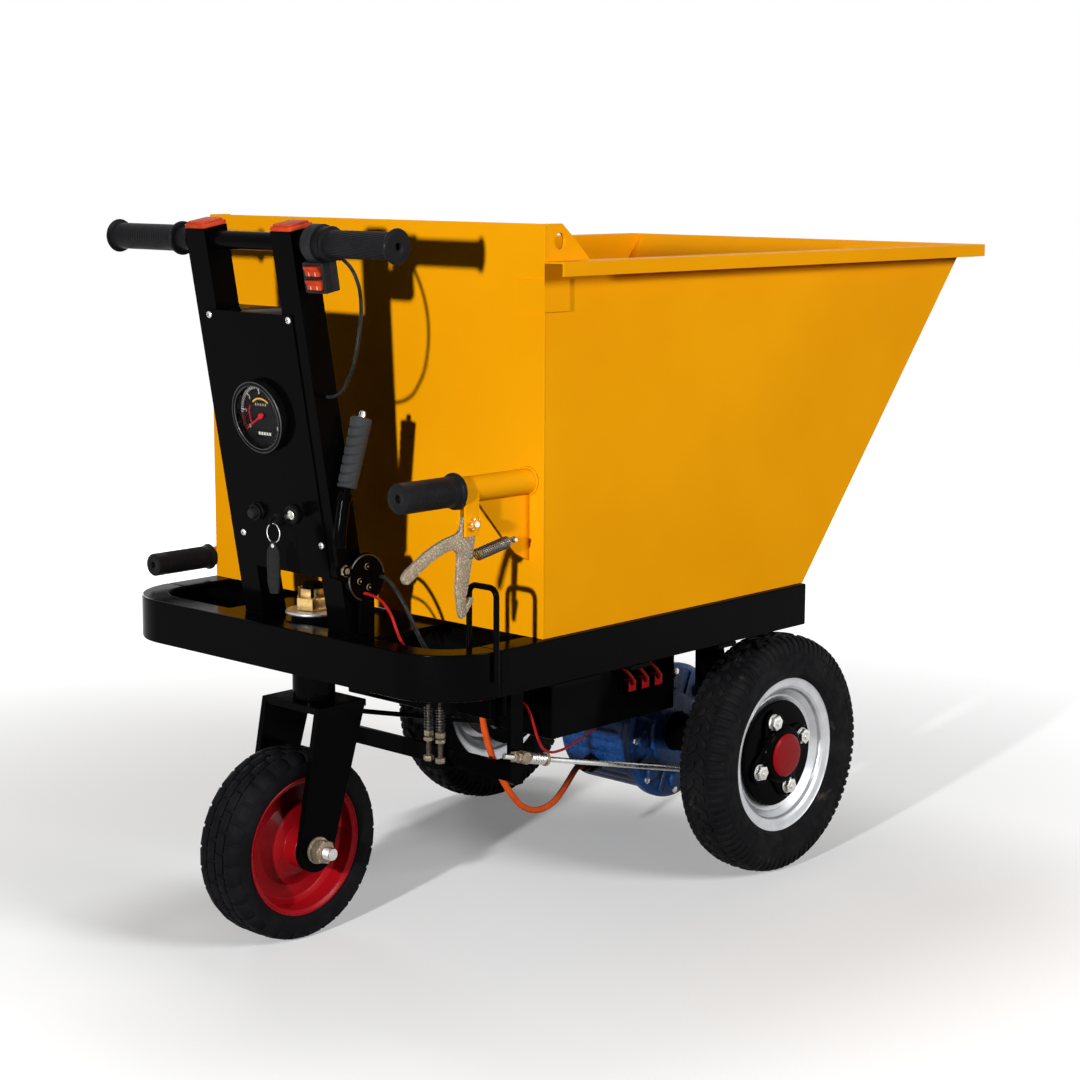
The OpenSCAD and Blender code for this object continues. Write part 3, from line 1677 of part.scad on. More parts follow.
placed() side_rails();
placed() front_rail();
placed() frame_brackets();
placed() hinge_pin();
placed() head_plate();
placed() column_legs();
placed() column_caps();
placed() column_panel();
placed() panel_screws();
placed() handlebar();
placed() left_grip();
placed() throttle_housing();
placed() throttle_grip();
placed() switch_pod();
placed() rocker_upper();
placed() rocker_lower();
placed() gauge_case();
placed() gauge_lens();
placed() gauge_needle();
placed() panel_bezels();
placed() key();
placed() key_fob();
placed() push_button();
placed() brake_bracket();
placed() brake_lever();
placed() brake_grip();
placed() brake_button();
placed() brake_cable();
placed() latch_loop();
placed() throttle_lead();
placed() red_wires();
placed() motor_cable();
placed() axle_housing();
placed() motor_housing();
placed() motor_cover();
placed() battery_box();
placed() brake_swing();
placed() brake_rods();
placed() rod_springs();
placed() cam_levers();
placed() caster_fork();
placed() caster_hardware();
placed() caster_rim();
placed() caster_tyre();
placed() rim_right();
placed() tyre_right();
placed() hub_right();
placed() rim_left();
placed() tyre_left();
placed() hub_left();
placed() hopper_back();
placed() hopper_sides();
placed() hopper_floor();
placed() hopper_front();
placed() hopper_rim();
placed() hopper_fittings();
placed() hopper_handles();
placed() hopper_grips();
placed() latch_hook();
placed() latch_spring();
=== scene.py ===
"""Looks of the concrete buggy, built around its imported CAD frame."""

import math

import bmesh
import bpy
from mathutils import Matrix, Vector


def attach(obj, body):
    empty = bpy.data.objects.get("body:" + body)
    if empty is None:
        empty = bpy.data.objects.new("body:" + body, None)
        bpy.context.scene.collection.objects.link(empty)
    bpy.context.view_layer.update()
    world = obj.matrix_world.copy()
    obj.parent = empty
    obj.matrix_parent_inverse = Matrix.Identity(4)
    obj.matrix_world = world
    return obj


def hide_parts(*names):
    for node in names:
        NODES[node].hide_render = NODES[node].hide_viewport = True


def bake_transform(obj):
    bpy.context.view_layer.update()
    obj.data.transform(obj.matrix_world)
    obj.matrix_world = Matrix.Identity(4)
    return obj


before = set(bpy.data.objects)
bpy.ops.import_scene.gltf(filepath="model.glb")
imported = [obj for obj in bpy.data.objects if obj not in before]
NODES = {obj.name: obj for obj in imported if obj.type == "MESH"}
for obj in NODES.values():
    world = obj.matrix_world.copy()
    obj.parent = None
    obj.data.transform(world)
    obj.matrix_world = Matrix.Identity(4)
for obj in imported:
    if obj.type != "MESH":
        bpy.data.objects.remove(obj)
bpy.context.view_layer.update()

SCENE = bpy.context.scene
TAU = 2 * math.pi
MM = 0.001

# Machine axes: millimetres, x to the operator's right, y towards the hopper, z up from the ground.
ORIGIN_Y = 358.0  # machine y of the row frame's origin


# ---------------- shapes


def at(point):
    """A point in machine millimetres as row-frame metres."""
    return Vector((point[0], point[1] - ORIGIN_Y, point[2])) * MM


def shift(x, y, z):
    return Matrix.Translation((x, y, z))


def turn(degrees, axis):
    return Matrix.Rotation(math.radians(degrees), 4, axis)


ALONG_X = turn(90, "Y")  # local z points along +x
ALONG_Y = turn(-90, "X")  # local z points along +y
SIDEWAYS = Matrix(((0, 0, 1, 0), (1, 0, 0, 0), (0, 1, 0, 0), (0, 0, 0, 1)))  # outline in y and z, raised on x
UPRIGHT = Matrix(((1, 0, 0, 0), (0, 0, -1, 0), (0, 1, 0, 0), (0, 0, 0, 1)))  # outline in x and z

# Places that several pieces share.
COLUMN = shift(0, -136.5, 450) @ turn(10, "X")  # foot of the leaning column
BAR = COLUMN @ shift(0, 20, 527)  # middle of the handlebar
BAR_END = 285
LEGS_X = (-87.5, 87.5)
POD_X = 137.5  # switch pod and its clamp, along the bar
STEM = shift(0, -105, 0)  # the caster's upright axis
CASTER = shift(0, -155, 135) @ ALONG_X
WHEEL_X, AXLE = 302, (556, 185)  # the middle of a drive tyre, and its axle in y and z
DUMP_HANDLE_X, DUMP_HANDLE_Z = 312, 661


def on_panel(x, w):
    """Panel axes: x across, y up the column, z towards the operator."""
    return COLUMN @ shift(x, -2, w) @ turn(90, "X")


def put(name, data):
    """A new object in the scene."""
    obj = bpy.data.objects.new(name, data)
    SCENE.collection.objects.link(obj)
    return obj


class Shape:
    """Closed parts gathered in machine millimetres and made into one piece."""

    def __init__(self, part=((), ()), place=Matrix()):
        self.verts = []
        self.faces = []
        self.add(part, place)

    def add(self, part, place=Matrix()):
        verts, faces = part
        base = len(self.verts)
        self.verts += [place @ Vector(v) for v in verts]
        self.faces += [[base + i for i in face] for face in faces]

    def make(self, name, mat, body="chassis", replaces=(), slot=None, sharp=38):
        """One mesh riding its body, with the material in its one slot; the slot argument is not used."""
        mesh = bpy.data.meshes.new(name)
        mesh.from_pydata([at(v) for v in self.verts], [], self.faces)
        bm = bmesh.new()
        bm.from_mesh(mesh)
        bmesh.ops.recalc_face_normals(bm, faces=bm.faces)
        bm.to_mesh(mesh)
        bm.free()
        mesh.shade_smooth()
        mesh.set_sharp_from_angle(angle=math.radians(sharp))
        mesh.materials.append(mat)
        obj = put(name, mesh)
        if body:
            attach(obj, body)
        if replaces:
            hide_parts(*replaces)
        return obj


def rounded(points, radius, steps, closed=True):
    """An outline with its corners eased; an open one keeps its two ends."""
    out = []
    count = len(points)
    for i, p in enumerate(points):
        here = Vector(p)
        a = Vector(points[i - 1]) - here
        b = Vector(points[(i + 1) % count]) - here
        is_end = not closed and i in (0, count - 1)
        if is_end or a.length < 1e-6 or b.length < 1e-6 or a.angle(b) > math.radians(178):
            out.append(tuple(here))
            continue
        cut = min(radius / math.tan(a.angle(b) / 2), 0.48 * a.length, 0.48 * b.length)
        s, e = here + a.normalized() * cut, here + b.normalized() * cut
        for k in range(steps + 1):
            t = k / steps
            out.append(tuple(s * (1 - t) ** 2 + here * 2 * t * (1 - t) + e * t * t))
    return out


def rectangle(w, h, r):
    return rounded([(-w / 2, -h / 2), (w / 2, -h / 2), (w / 2, h / 2), (-w / 2, h / 2)], r, 5)


def polar(radius, angle):
    """A point of a circle about the origin; the angle is in radians."""
    return radius * math.cos(angle), radius * math.sin(angle)


def arc(radius, first, last, steps):
    """Points of a circle from one angle to another, in radians."""
    return [polar(radius, first + (last - first) * k / steps) for k in range(steps + 1)]


def polygon(sides, corner_r):
    return [polar(corner_r, TAU * k / sides) for k in range(sides)]


def smoothed(points, rounds):
    """A closed outline with its corners cut again and again, so that it runs smooth."""
    pts = [Vector(p) for p in points]
    for _ in range(rounds):
        pairs = zip(pts, pts[1:] + pts[:1])
        pts = [q for a, b in pairs for q in (a * 0.75 + b * 0.25, a * 0.25 + b * 0.75)]
    return [tuple(p) for p in pts]


def smooth_path(points, per_span=6):
    """A route through its points as a fine smooth line."""
    pts = [Vector(p) for p in points]
    pts = [2 * pts[0] - pts[1]] + pts + [2 * pts[-1] - pts[-2]]
    out = []
    for i in range(1, len(pts) - 2):
        p0, p1, p2, p3 = pts[i - 1 : i + 3]
        for k in range(per_span):
            t = k / per_span
            out.append(0.5 * (2 * p1 + (p2 - p0) * t + (2 * p0 - 5 * p1 + 4 * p2 - p3) * t**2
                              + (3 * p1 - p0 - 3 * p2 + p3) * t**3))
    return out + [pts[-2]]


def bands(rows, count, closed=False):
    """Faces between neighbouring rings of count points; closed joins the last ring to the first."""
    faces = []
    for i in range(rows if closed else rows - 1):
        n = (i + 1) % rows
        for k in range(count):
            j = (k + 1) % count
            faces.append([i * count + k, i * count + j, n * count + j, n * count + k])
    return faces


def lathe(profile, sides, closed=False, shape=None):
    """Turned about z from (radius, height) points; shape(radius, height, angle) may change a radius."""
    verts, faces, rings = [], [], []
    for r, h in profile:
        start = len(verts)
        if r < 1e-6:
            rings.append([start])
            verts.append((0, 0, h))
            continue
        rings.append(list(range(start, start + sides)))
        for k in range(sides):
            a = TAU * k / sides
            verts.append((*polar(shape(r, h, a) if shape else r, a), h))
    pairs = list(zip(rings, rings[1:])) + ([(rings[-1], rings[0])] if closed else [])
    for a, b in pairs:
        for k in range(sides):
            j = (k + 1) % sides
            if len(a) == 1 and len(b) == 1:
                continue
            if len(a) == 1:
                faces.append([a[0], b[j], b[k]])
            elif len(b) == 1:
                faces.append([a[k], a[j], b[0]])
            else:
                faces.append([a[k], a[j], b[j], b[k]])
    if not closed:
        faces += [end for end in (rings[0], rings[-1]) if len(end) > 1]
    return verts, faces


def ring(profile, sides):
    """A turned ring; its profile closes on itself and keeps off the axis."""
    return lathe(profile, sides, closed=True)


def inset(outline, d):
    """The outline, drawn anticlockwise, moved inwards by d."""
    out = []
    count = len(outline)
    for i in range(count):
        p, a, b = (Vector(outline[j % count]) for j in (i, i - 1, i + 1))
        e1, e2 = (p - a), (b - p)
        if e1.length < 1e-9 or e2.length < 1e-9:
            e1 = e2 = b - a
        n1 = Vector((-e1.y, e1.x)).normalized()
        n2 = Vector((-e2.y, e2.x)).normalized()
        n = n1 + n2
        n = n1 if n.length < 1e-6 else n.normalized()
        out.append(p + n * d / max(n.dot(n1), 0.5))
    return out


def prism(outline, height, edge, steps=2):
    """An outline in x and y raised along z, with eased edges at both ends."""
    area = sum(a[0] * b[1] - b[0] * a[1] for a, b in zip(outline, list(outline[1:]) + [outline[0]]))
    if area < 0:
        outline = list(reversed(outline))
    levels = []
    for k in range(steps + 1):
        a = math.pi / 2 * k / steps
        levels.append((edge * (1 - math.sin(a)), edge * (1 - math.cos(a))))
    levels += [(d, height - z) for d, z in reversed(levels)]
    verts = []
    for d, z in levels:
        verts += [(p[0], p[1], z) for p in (inset(outline, d) if d > 1e-9 else outline)]
    count = len(outline)
    ends = [list(range(count - 1, -1, -1)), list(range(len(verts) - count, len(verts)))]
    return verts, bands(len(levels), count) + ends


def block(w, d, h, r, edge):
    """A box on its centre with rounded corners and eased edges."""
    verts, faces = prism(rectangle(w, d, r), h, edge)
    return [(v[0], v[1], v[2] - h / 2) for v in verts], faces


def tube(points, radius, sides, closed=False):
    """A round tube along points; radius is a number or one number per point."""
    pts = [Vector(p) for p in points]
    count = len(pts)
    radii = radius if isinstance(radius, list) else [radius] * count
    tangents = []
    for i in range(count):
        a = pts[i - 1] if closed or i else pts[0]
        b = pts[(i + 1) % count] if closed or i < count - 1 else pts[-1]
        tangents.append((b - a).normalized())
    normal = tangents[0].orthogonal().normalized()
    verts = []
    for p, t, r in zip(pts, tangents, radii):
        normal = (normal - t * normal.dot(t)).normalized()
        side = t.cross(normal)
        verts += [p + r * (math.cos(TAU * k / sides) * normal + math.sin(TAU * k / sides) * side)
                  for k in range(sides)]
    ends = [] if closed else [list(range(sides)), list(range(len(verts) - sides, len(verts)))]
    return verts, bands(count, sides, closed) + ends


def torus(ring_r, wire_r, around, sides):
    return tube([(*p, 0) for p in polygon(around, ring_r)], wire_r, sides, closed=True)


def rod(length, radius, edge, sides=32):
    """A bar along z with eased ends."""
    eased = radius - 0.3 * edge
    return lathe([(0, 0), (radius - edge, 0), (eased, 0.3 * edge), (radius, edge), (radius, length - edge),
                  (eased, length - 0.3 * edge), (radius - edge, length), (0, length)], sides)


def thread(length, radius, pitch, depth, sides=24):
    """A threaded bar along z."""
    profile = [(0, 0), (radius - depth, 0)]
    count = max(1, int(length / pitch))
    for k in range(count):
        profile += [(radius, pitch * (k + 0.5)), (radius - depth, pitch * (k + 1))]
    return lathe(profile + [(radius - depth, length), (0, length)], sides)


def hex_nut(flats, height, edge):
    return prism(polygon(6, flats / math.sqrt(3)), height, edge, 3)


def spiral(radius, start, length, turns, per_turn=20):
    """A coil about z that starts at that height."""
    count = turns * per_turn
    return [(*polar(radius, TAU * k / per_turn), start + length * k / count) for k in range(count + 1)]


def weld_bead(points, radius, pitch=3.4):
    """A weld seam: a tube with the ripples of its run."""
    pts = [Vector(p) for p in points]
    fine, radii = [], []
    walked = 0.0
    for a, b in zip(pts, pts[1:]):
        steps = max(1, int((b - a).length / (pitch / 4)))
        for k in range(steps):
            fine.append(a.lerp(b, k / steps))
            walked += (b - a).length / steps
            radii.append(radius * (0.86 + 0.14 * abs(math.sin(math.pi * walked / pitch))
                                   + 0.07 * math.sin(walked * 0.61)))
    fine.append(pts[-1])
    radii.append(radius * 0.7)
    radii[0] = radius * 0.7
    return tube(fine, radii, 8)


def numeral(text, height):
    """Flat raised figures, centred on the origin, in the x-y plane."""
    curve = bpy.data.curves.new("numeral", "FONT")
    curve.body = text
    curve.size = height
    curve.align_x = "CENTER"
    curve.align_y = "CENTER"
    curve.extrude = 0.08
    curve.resolution_u = 3
    obj = put("numeral", curve)
    bpy.context.view_layer.update()
    mesh = bpy.data.meshes.new_from_object(obj.evaluated_get(bpy.context.evaluated_depsgraph_get()))
    part = [tuple(v.co) for v in mesh.vertices], [list(p.vertices) for p in mesh.polygons]
    bpy.data.objects.remove(obj)
    bpy.data.curves.remove(curve)
    bpy.data.meshes.remove(mesh)
    return part


# ---------------- camera


CAMERA_AT = (2.3456, -2.5325, 1.0766)
CAMERA_TURNS = (42.77, 9.44, 0.26)  # yaw, pitch and roll in degrees
SENSOR_MM, FOCAL_MM = 36, 75.7


def make_camera():
    """The photograph's view: from behind the operator's right shoulder, a little above the hopper."""
    yaw, pitch, roll = (math.radians(a) for a in CAMERA_TURNS)
    flat = math.cos(pitch)
    forward = Vector((-math.sin(yaw) * flat, math.cos(yaw) * flat, -math.sin(pitch)))
    right = Vector((math.cos(yaw), math.sin(yaw), 0))
    up = right.cross(forward)
    right, up = right * math.cos(roll) + up * math.sin(roll), up * math.cos(roll) - right * math.sin(roll)
    data = bpy.data.cameras.new("camera")
    data.sensor_width = SENSOR_MM
    data.lens = FOCAL_MM
    camera = put("camera", data)
    rows = [(right[i], up[i], -forward[i], CAMERA_AT[i]) for i in range(3)]
    camera.matrix_world = Matrix((*rows, (0, 0, 0, 1)))
    SCENE.camera = camera


make_camera()


# ---------------- materials


class Graph:
    """A node tree with short ways to add to it."""

    def __init__(self, tree):
        self.tree = tree

    def node(self, kind, settings=(), **inputs):
        """A new node with its settings; an input is a number or colour, or an output to link."""
        node = self.tree.nodes.new(kind)
        for key, value in dict(settings).items():
            setattr(node, key, value)
        for key, value in inputs.items():
            self.fill(node.inputs[key.replace("_", " ")], value)
        return node

    def fill(self, socket, value):
        if isinstance(value, bpy.types.NodeSocket):
            self.tree.links.new(value, socket)
        else:
            socket.default_value = value

    def spread(self, value, low, high, to_low=0.0, to_high=1.0, kind="LINEAR"):
        return self.node("ShaderNodeMapRange", {"interpolation_type": kind}, Value=value, From_Min=low,
                         From_Max=high, To_Min=to_low, To_Max=to_high).outputs["Result"]

    def blend(self, mask, color_a, color_b):
        node = self.node("ShaderNodeMix", {"data_type": "RGBA"})
        for index, value in ((0, mask), (6, color_a), (7, color_b)):
            self.fill(node.inputs[index], (*value, 1) if isinstance(value, tuple) else value)
        return node.outputs[2]

    def calc(self, operation, a, b, clamp=False):
        node = self.node("ShaderNodeMath", {"operation": operation, "use_clamp": clamp})
        self.fill(node.inputs[0], a)
        self.fill(node.inputs[1], b)
        return node.outputs[0]

    def seen_directly(self):
        """1 where the camera, a mirror or clear plastic looks, 0 where light is gathered."""
        path = self.node("ShaderNodeLightPath")
        total = path.outputs["Is Camera Ray"]
        for name in ("Is Glossy Ray", "Is Transmission Ray"):
            total = self.calc("ADD", total, path.outputs[name], clamp=True)
        return total


class Paint(Graph):
    """A principled material; texture scales are per metre of the part."""

    def __init__(self, name, color, rough, metal=0.0, **sockets):
        self.mat = bpy.data.materials.new(name)
        self.mat.use_nodes = True
        super().__init__(self.mat.node_tree)
        self.shader = self.tree.nodes["Principled BSDF"]
        self.look(Base_Color=(*color, 1), Roughness=rough, Metallic=metal, **sockets)
        self.coord = self.node("ShaderNodeTexCoord").outputs["Object"]

    def look(self, **sockets):
        for key, value in sockets.items():
            self.fill(self.shader.inputs[key.replace("_", " ")], value)

    def noise(self, scale, detail=4.0, rough=0.55, stretch=(1, 1, 1), warp=0.0):
        place = self.node("ShaderNodeMapping", Vector=self.coord, Scale=stretch)
        return self.node("ShaderNodeTexNoise", Vector=place.outputs["Vector"], Scale=scale, Detail=detail,
                         Roughness=rough, Distortion=warp).outputs["Fac"]

    def color(self, output):
        self.look(Base_Color=output)

    def roughness(self, output):
        self.look(Roughness=output)

    def bump(self, *heights):
        """Heights are (value, metres) pairs."""
        last = {}
        for value, metres in heights:
            node = self.node("ShaderNodeBump", Strength=1.0, Distance=metres, Height=value, **last)
            last = {"Normal": node.outputs["Normal"]}
        self.look(**last)


def painted_steel(name, color, deep, dust, rough, shine):
    """Sprayed paint: slight orange peel, cloudy tone, dust specks and fine rubbed scratches."""
    p = Paint(name, color, rough, Specular_IOR_Level=shine)
    tone = p.spread(p.noise(3.2, 3), 0.35, 0.68)
    base = p.blend(tone, deep, color)
    specks = p.spread(p.noise(260, 3, 0.7), 0.69, 0.76, 0, 0.55)
    base = p.blend(specks, base, dust)
    rubs = p.spread(p.noise(38, 5, 0.62, (1, 1, 9), 0.8), 0.66, 0.80, 0, 0.35)
    p.color(p.blend(rubs, base, dust))
    p.roughness(p.spread(p.noise(24, 5, 0.6), 0.3, 0.75, rough - 0.06, rough + 0.12))
    p.bump((p.noise(420, 2, 0.5), 0.00005), (p.noise(7, 2, 0.4), 0.0006))
    return p.mat


def soft_rubber(name, color, dust, rough, grain, shine=0.02):
    p = Paint(name, color, rough, Specular_IOR_Level=shine)
    mask = p.spread(p.noise(16, 5, 0.65), 0.48, 0.78, 0, 0.55)
    p.color(p.blend(mask, color, dust))
    p.roughness(p.spread(p.noise(60, 4), 0.3, 0.7, rough - 0.08, rough + 0.1))
    p.bump((p.noise(grain, 3, 0.6), 0.00008))
    return p.mat


def plated_metal(name, color, tint, rough, fine=180.0):
    p = Paint(name, color, rough, 1.0)
    p.color(p.blend(p.spread(p.noise(30, 4, 0.6), 0.35, 0.7), color, tint))
    p.roughness(p.spread(p.noise(fine, 4, 0.6), 0.3, 0.7, rough - 0.08, rough + 0.14))
    p.bump((p.noise(fine * 2, 2), 0.00003))
    return p.mat


def zinc_passivate():
    """Yellow zinc plating: straw gold with rose and green clouds and a grainy skin."""
    p = Paint("yellow_zinc", (0.24, 0.19, 0.12), 0.5, 0.7)
    rose = p.blend(p.spread(p.noise(48, 4, 0.65), 0.40, 0.62), (0.23, 0.185, 0.115), (0.26, 0.165, 0.125))
    green = p.blend(p.spread(p.noise(66, 4, 0.7, (1.3, 1, 0.8)), 0.48, 0.66), rose, (0.18, 0.19, 0.12))
    grain = p.noise(430, 3, 0.75)
    dark = p.blend(p.spread(grain, 0.30, 0.46, 0.75, 0), green, (0.06, 0.05, 0.035))
    p.color(p.blend(p.spread(grain, 0.54, 0.66, 0, 0.8), dark, (0.62, 0.55, 0.42)))
    p.roughness(p.spread(p.noise(300, 4), 0.3, 0.7, 0.42, 0.66))
    p.bump((grain, 0.00022))
    return p.mat


def cast_blue():
    """Painted rough casting."""
    p = Paint("blue_paint", (0.006, 0.07, 0.26), 0.36, Specular_IOR_Level=0.25)
    pits = p.noise(150, 5, 0.7)
    p.color(p.blend(p.spread(pits, 0.34, 0.62), (0.002, 0.020, 0.085), (0.007, 0.072, 0.27)))
    p.roughness(p.spread(pits, 0.3, 0.7, 0.28, 0.5))
    p.bump((pits, 0.0009), (p.noise(40, 3), 0.0008))
    return p.mat


def muddy_tyre():
    """Black tyre rubber with dried mud in the tread and pale scuffs on the wall."""
    p = Paint("drive_tyre_rubber", (0.007, 0.007, 0.008), 0.7, Specular_IOR_Level=0.04)
    scuffs = p.spread(p.noise(22, 5, 0.65), 0.45, 0.75, 0, 0.7)
    grey = p.blend(scuffs, (0.006, 0.006, 0.0068), (0.018, 0.018, 0.019))
    mud = p.spread(p.noise(13, 6, 0.72, (2.2, 1, 1)), 0.60, 0.74, 0, 0.55)
    p.color(p.blend(mud, grey, (0.13, 0.10, 0.075)))
    p.roughness(p.spread(p.noise(70, 4), 0.3, 0.7, 0.55, 0.85))
    p.bump((p.noise(520, 3, 0.6), 0.00010), (p.noise(60, 4, 0.6), 0.0004))
    return p.mat


def black_leather():
    p = Paint("leather", (0.005, 0.005, 0.005), 0.4, Specular_IOR_Level=0.12)
    grain = p.node("ShaderNodeTexVoronoi", {"feature": "DISTANCE_TO_EDGE"}, Vector=p.coord, Scale=700)
    p.color(p.blend(p.spread(p.noise(90, 4), 0.4, 0.7), (0.004, 0.004, 0.004), (0.011, 0.010, 0.009)))
    p.roughness(p.spread(p.noise(140, 4), 0.3, 0.7, 0.42, 0.62))
    p.bump((p.spread(grain.outputs["Distance"], 0, 0.25), 0.00025))
    return p.mat


def moulded_plastic(name, color, shade, rough):
    """Plastic from a mould, a little cloudy and with a fine grain."""
    p = Paint(name, color, rough, Specular_IOR_Level=0.03)
    p.color(p.blend(p.spread(p.noise(45, 4), 0.4, 0.7), color, shade))
    p.roughness(p.spread(p.noise(120, 3), 0.3, 0.7, rough - 0.06, rough + 0.1))
    p.bump((p.noise(900, 2), 0.00006))
    return p.mat


def sheath(name, color, shade, rough):
    """Cable jacket with handling marks and a fine grain."""
    p = Paint(name, color, rough, Specular_IOR_Level=0.08)
    p.color(p.blend(p.spread(p.noise(70, 4), 0.45, 0.75), color, shade))
    p.roughness(p.spread(p.noise(160, 3), 0.3, 0.7, rough - 0.05, rough + 0.1))
    p.bump((p.noise(800, 2), 0.00006))
    return p.mat


def clear_plastic():
    p = Paint("clear_lens", (1, 1, 1), 0.03, Transmission_Weight=1.0, IOR=1.06)
    p.roughness(p.spread(p.noise(90, 4), 0.45, 0.8, 0.01, 0.08))
    return p.mat


YELLOW = painted_steel("yellow_paint", (0.88, 0.365, 0.002), (0.82, 0.325, 0.001), (0.90, 0.44, 0.04), 0.42,
                       0.03)
BLACK = painted_steel("black_paint", (0.0018, 0.0018, 0.0021), (0.0012, 0.0012, 0.0014),
                      (0.010, 0.0095, 0.0085), 0.14, 0.015)
GRIP = soft_rubber("black_rubber", (0.008, 0.008, 0.009), (0.022, 0.022, 0.024), 0.42, 700, 0.04)
BRAKE_RUBBER = soft_rubber("brake_grip_rubber", (0.040, 0.041, 0.043), (0.075, 0.076, 0.078), 0.5, 700)
TYRE = soft_rubber("tyre_rubber", (0.007, 0.007, 0.008), (0.022, 0.022, 0.023), 0.66, 520)
DRIVE_TYRE = muddy_tyre()
RED = painted_steel("red_paint", (0.32, 0.004, 0.008), (0.24, 0.003, 0.006), (0.45, 0.04, 0.035), 0.26, 0.09)
SILVER = plated_metal("silver_paint", (0.56, 0.57, 0.59), (0.44, 0.45, 0.47), 0.36, 240)
STEEL = plated_metal("bright_steel", (0.70, 0.69, 0.66), (0.52, 0.51, 0.49), 0.26)
ZINC = zinc_passivate()
BRASS = plated_metal("brass_zinc", (0.62, 0.42, 0.16), (0.45, 0.28, 0.11), 0.28)
DARK_STEEL = plated_metal("spring_steel", (0.11, 0.11, 0.113), (0.06, 0.06, 0.062), 0.3)
BLUE = cast_blue()
PLASTIC = moulded_plastic("black_plastic", (0.005, 0.005, 0.0055), (0.010, 0.010, 0.011), 0.42)
GREY_PLASTIC = moulded_plastic("dark_grey_plastic", (0.015, 0.015, 0.017), (0.028, 0.028, 0.030), 0.45)
ORANGE = moulded_plastic("orange_plastic", (0.62, 0.065, 0.018), (0.38, 0.03, 0.012), 0.4)
RED_PLASTIC = moulded_plastic("red_plastic", (0.55, 0.012, 0.016), (0.38, 0.008, 0.01), 0.38)
WHITE = moulded_plastic("white_plastic", (0.74, 0.72, 0.68), (0.6, 0.58, 0.54), 0.5)
YELLOW_INK = moulded_plastic("yellow_ink", (0.78, 0.45, 0.06), (0.66, 0.36, 0.05), 0.5)
ORANGE_SHEATH = sheath("orange_sheath", (0.80, 0.105, 0.012), (0.62, 0.07, 0.01), 0.42)
RED_SHEATH = sheath("red_sheath", (0.46, 0.012, 0.014), (0.3, 0.008, 0.01), 0.35)
BLACK_SHEATH = sheath("black_sheath", (0.010, 0.010, 0.011), (0.03, 0.03, 0.03), 0.3)
LEATHER = black_leather()
LENS = clear_plastic()


# ---------------- cords


THROTTLE_ROUTE = [
    (150, -181.8, 953.9), (150, -174.43, 948.74), (153, -168, 941), (158, -164.5, 930), (165, -164.5, 915),
    (172, -168, 897), (177, -173, 877), (178.5, -177.5, 856), (176.5, -180.5, 835), (171, -181.5, 815),
    (161, -181, 798), (149, -178, 784), (136, -175, 776), (122, -172, 771), (114, -171, 770),
    (107.8, -171, 770),
]
MOTOR_ROUTE = [
    (120, 112, 300.7), (120, 112, 285), (119, 117, 265), (117, 128, 238), (115, 143, 210), (113, 161, 182),
    (110, 182, 156), (106, 206, 134), (101, 232, 120), (95, 258, 113), (88, 285, 111), (79, 312, 113),
    (68, 338, 118), (56, 364, 124), (43, 389, 129), (31, 410, 131.5), (23, 424, 132), (20, 433, 132),
    (20, 440.7, 132),
]
BRAKE_WIRE_ROUTE = [
    (119.8, -118, 500), (127, -118, 500), (138, -117, 498), (150, -116, 494), (161, -116, 486),
    (171, -116, 475), (178, -116, 462), (183, -114, 449), (186, -108, 436), (189, -97, 426),
    (194, -82, 419), (198, -63, 415), (200, -42, 415), (200, -20.3, 415),
]
MOTOR_WIRE_ROUTE = [
    (180.3, 125, 318), (187, 125, 317), (193, 127, 311), (196, 131, 300), (197, 136, 286), (197, 142, 271),
    (196, 150, 256), (193, 161, 244), (188, 176, 236), (181, 195, 230), (172, 217, 226), (162, 241, 223),
    (150, 267, 221), (138, 294, 220), (126, 321, 219), (114, 348, 219), (103, 375, 219), (93, 401, 219),
    (86, 425, 218), (81, 446, 217), (80, 460.5, 217),
]
BRAKE_CABLE_ROUTE = [
    (126.3, -94, 521), (133, -94, 521), (143, -93, 516), (153, -92, 507), (163, -91, 495), (172, -89, 481),
    (179, -86, 465), (185, -81, 448), (188, -73, 432), (187, -61, 418), (181, -46, 406), (171, -29, 395),
    (157, -11, 384), (140, 7, 373), (121, 25, 362), (101, 41, 350), (84, 56, 337), (71.5, 68, 324.5),
    (64.8, 78, 315), (62, 83, 306), (62, 83, 297.4),
]
RIB_PITCH = 3.2  # of the motor cable's wound ribs


def free_cord(name, route, diameter, mat, node, rib=0.0):
    """A free cord along its CAD route; rib is the height of its wound ribs."""
    line = smooth_path(route, 24 if rib else 6)
    walked, radii = 0.0, []
    for i, p in enumerate(line):
        walked += (p - line[i - 1]).length if i else 0
        radii.append(diameter / 2 - rib * (0.5 + 0.5 * math.cos(TAU * walked / RIB_PITCH)))
    obj = Shape(tube(line, radii, 16)).make(name, mat, replaces=[node], sharp=60)


free_cord("throttle_lead_cable", THROTTLE_ROUTE, 5, BLACK_SHEATH, "throttle_lead")
free_cord("motor_cable_loom", MOTOR_ROUTE, 10, ORANGE_SHEATH, "motor_cable", rib=0.35)
free_cord("brake_switch_wire", BRAKE_WIRE_ROUTE, 4, RED_SHEATH, "red_wires")
free_cord("motor_switch_wire", MOTOR_WIRE_ROUTE, 4, RED_SHEATH, "red_wires")


# ---------------- CAD pieces that stay in view


SHARP_EDGE = math.radians(36)


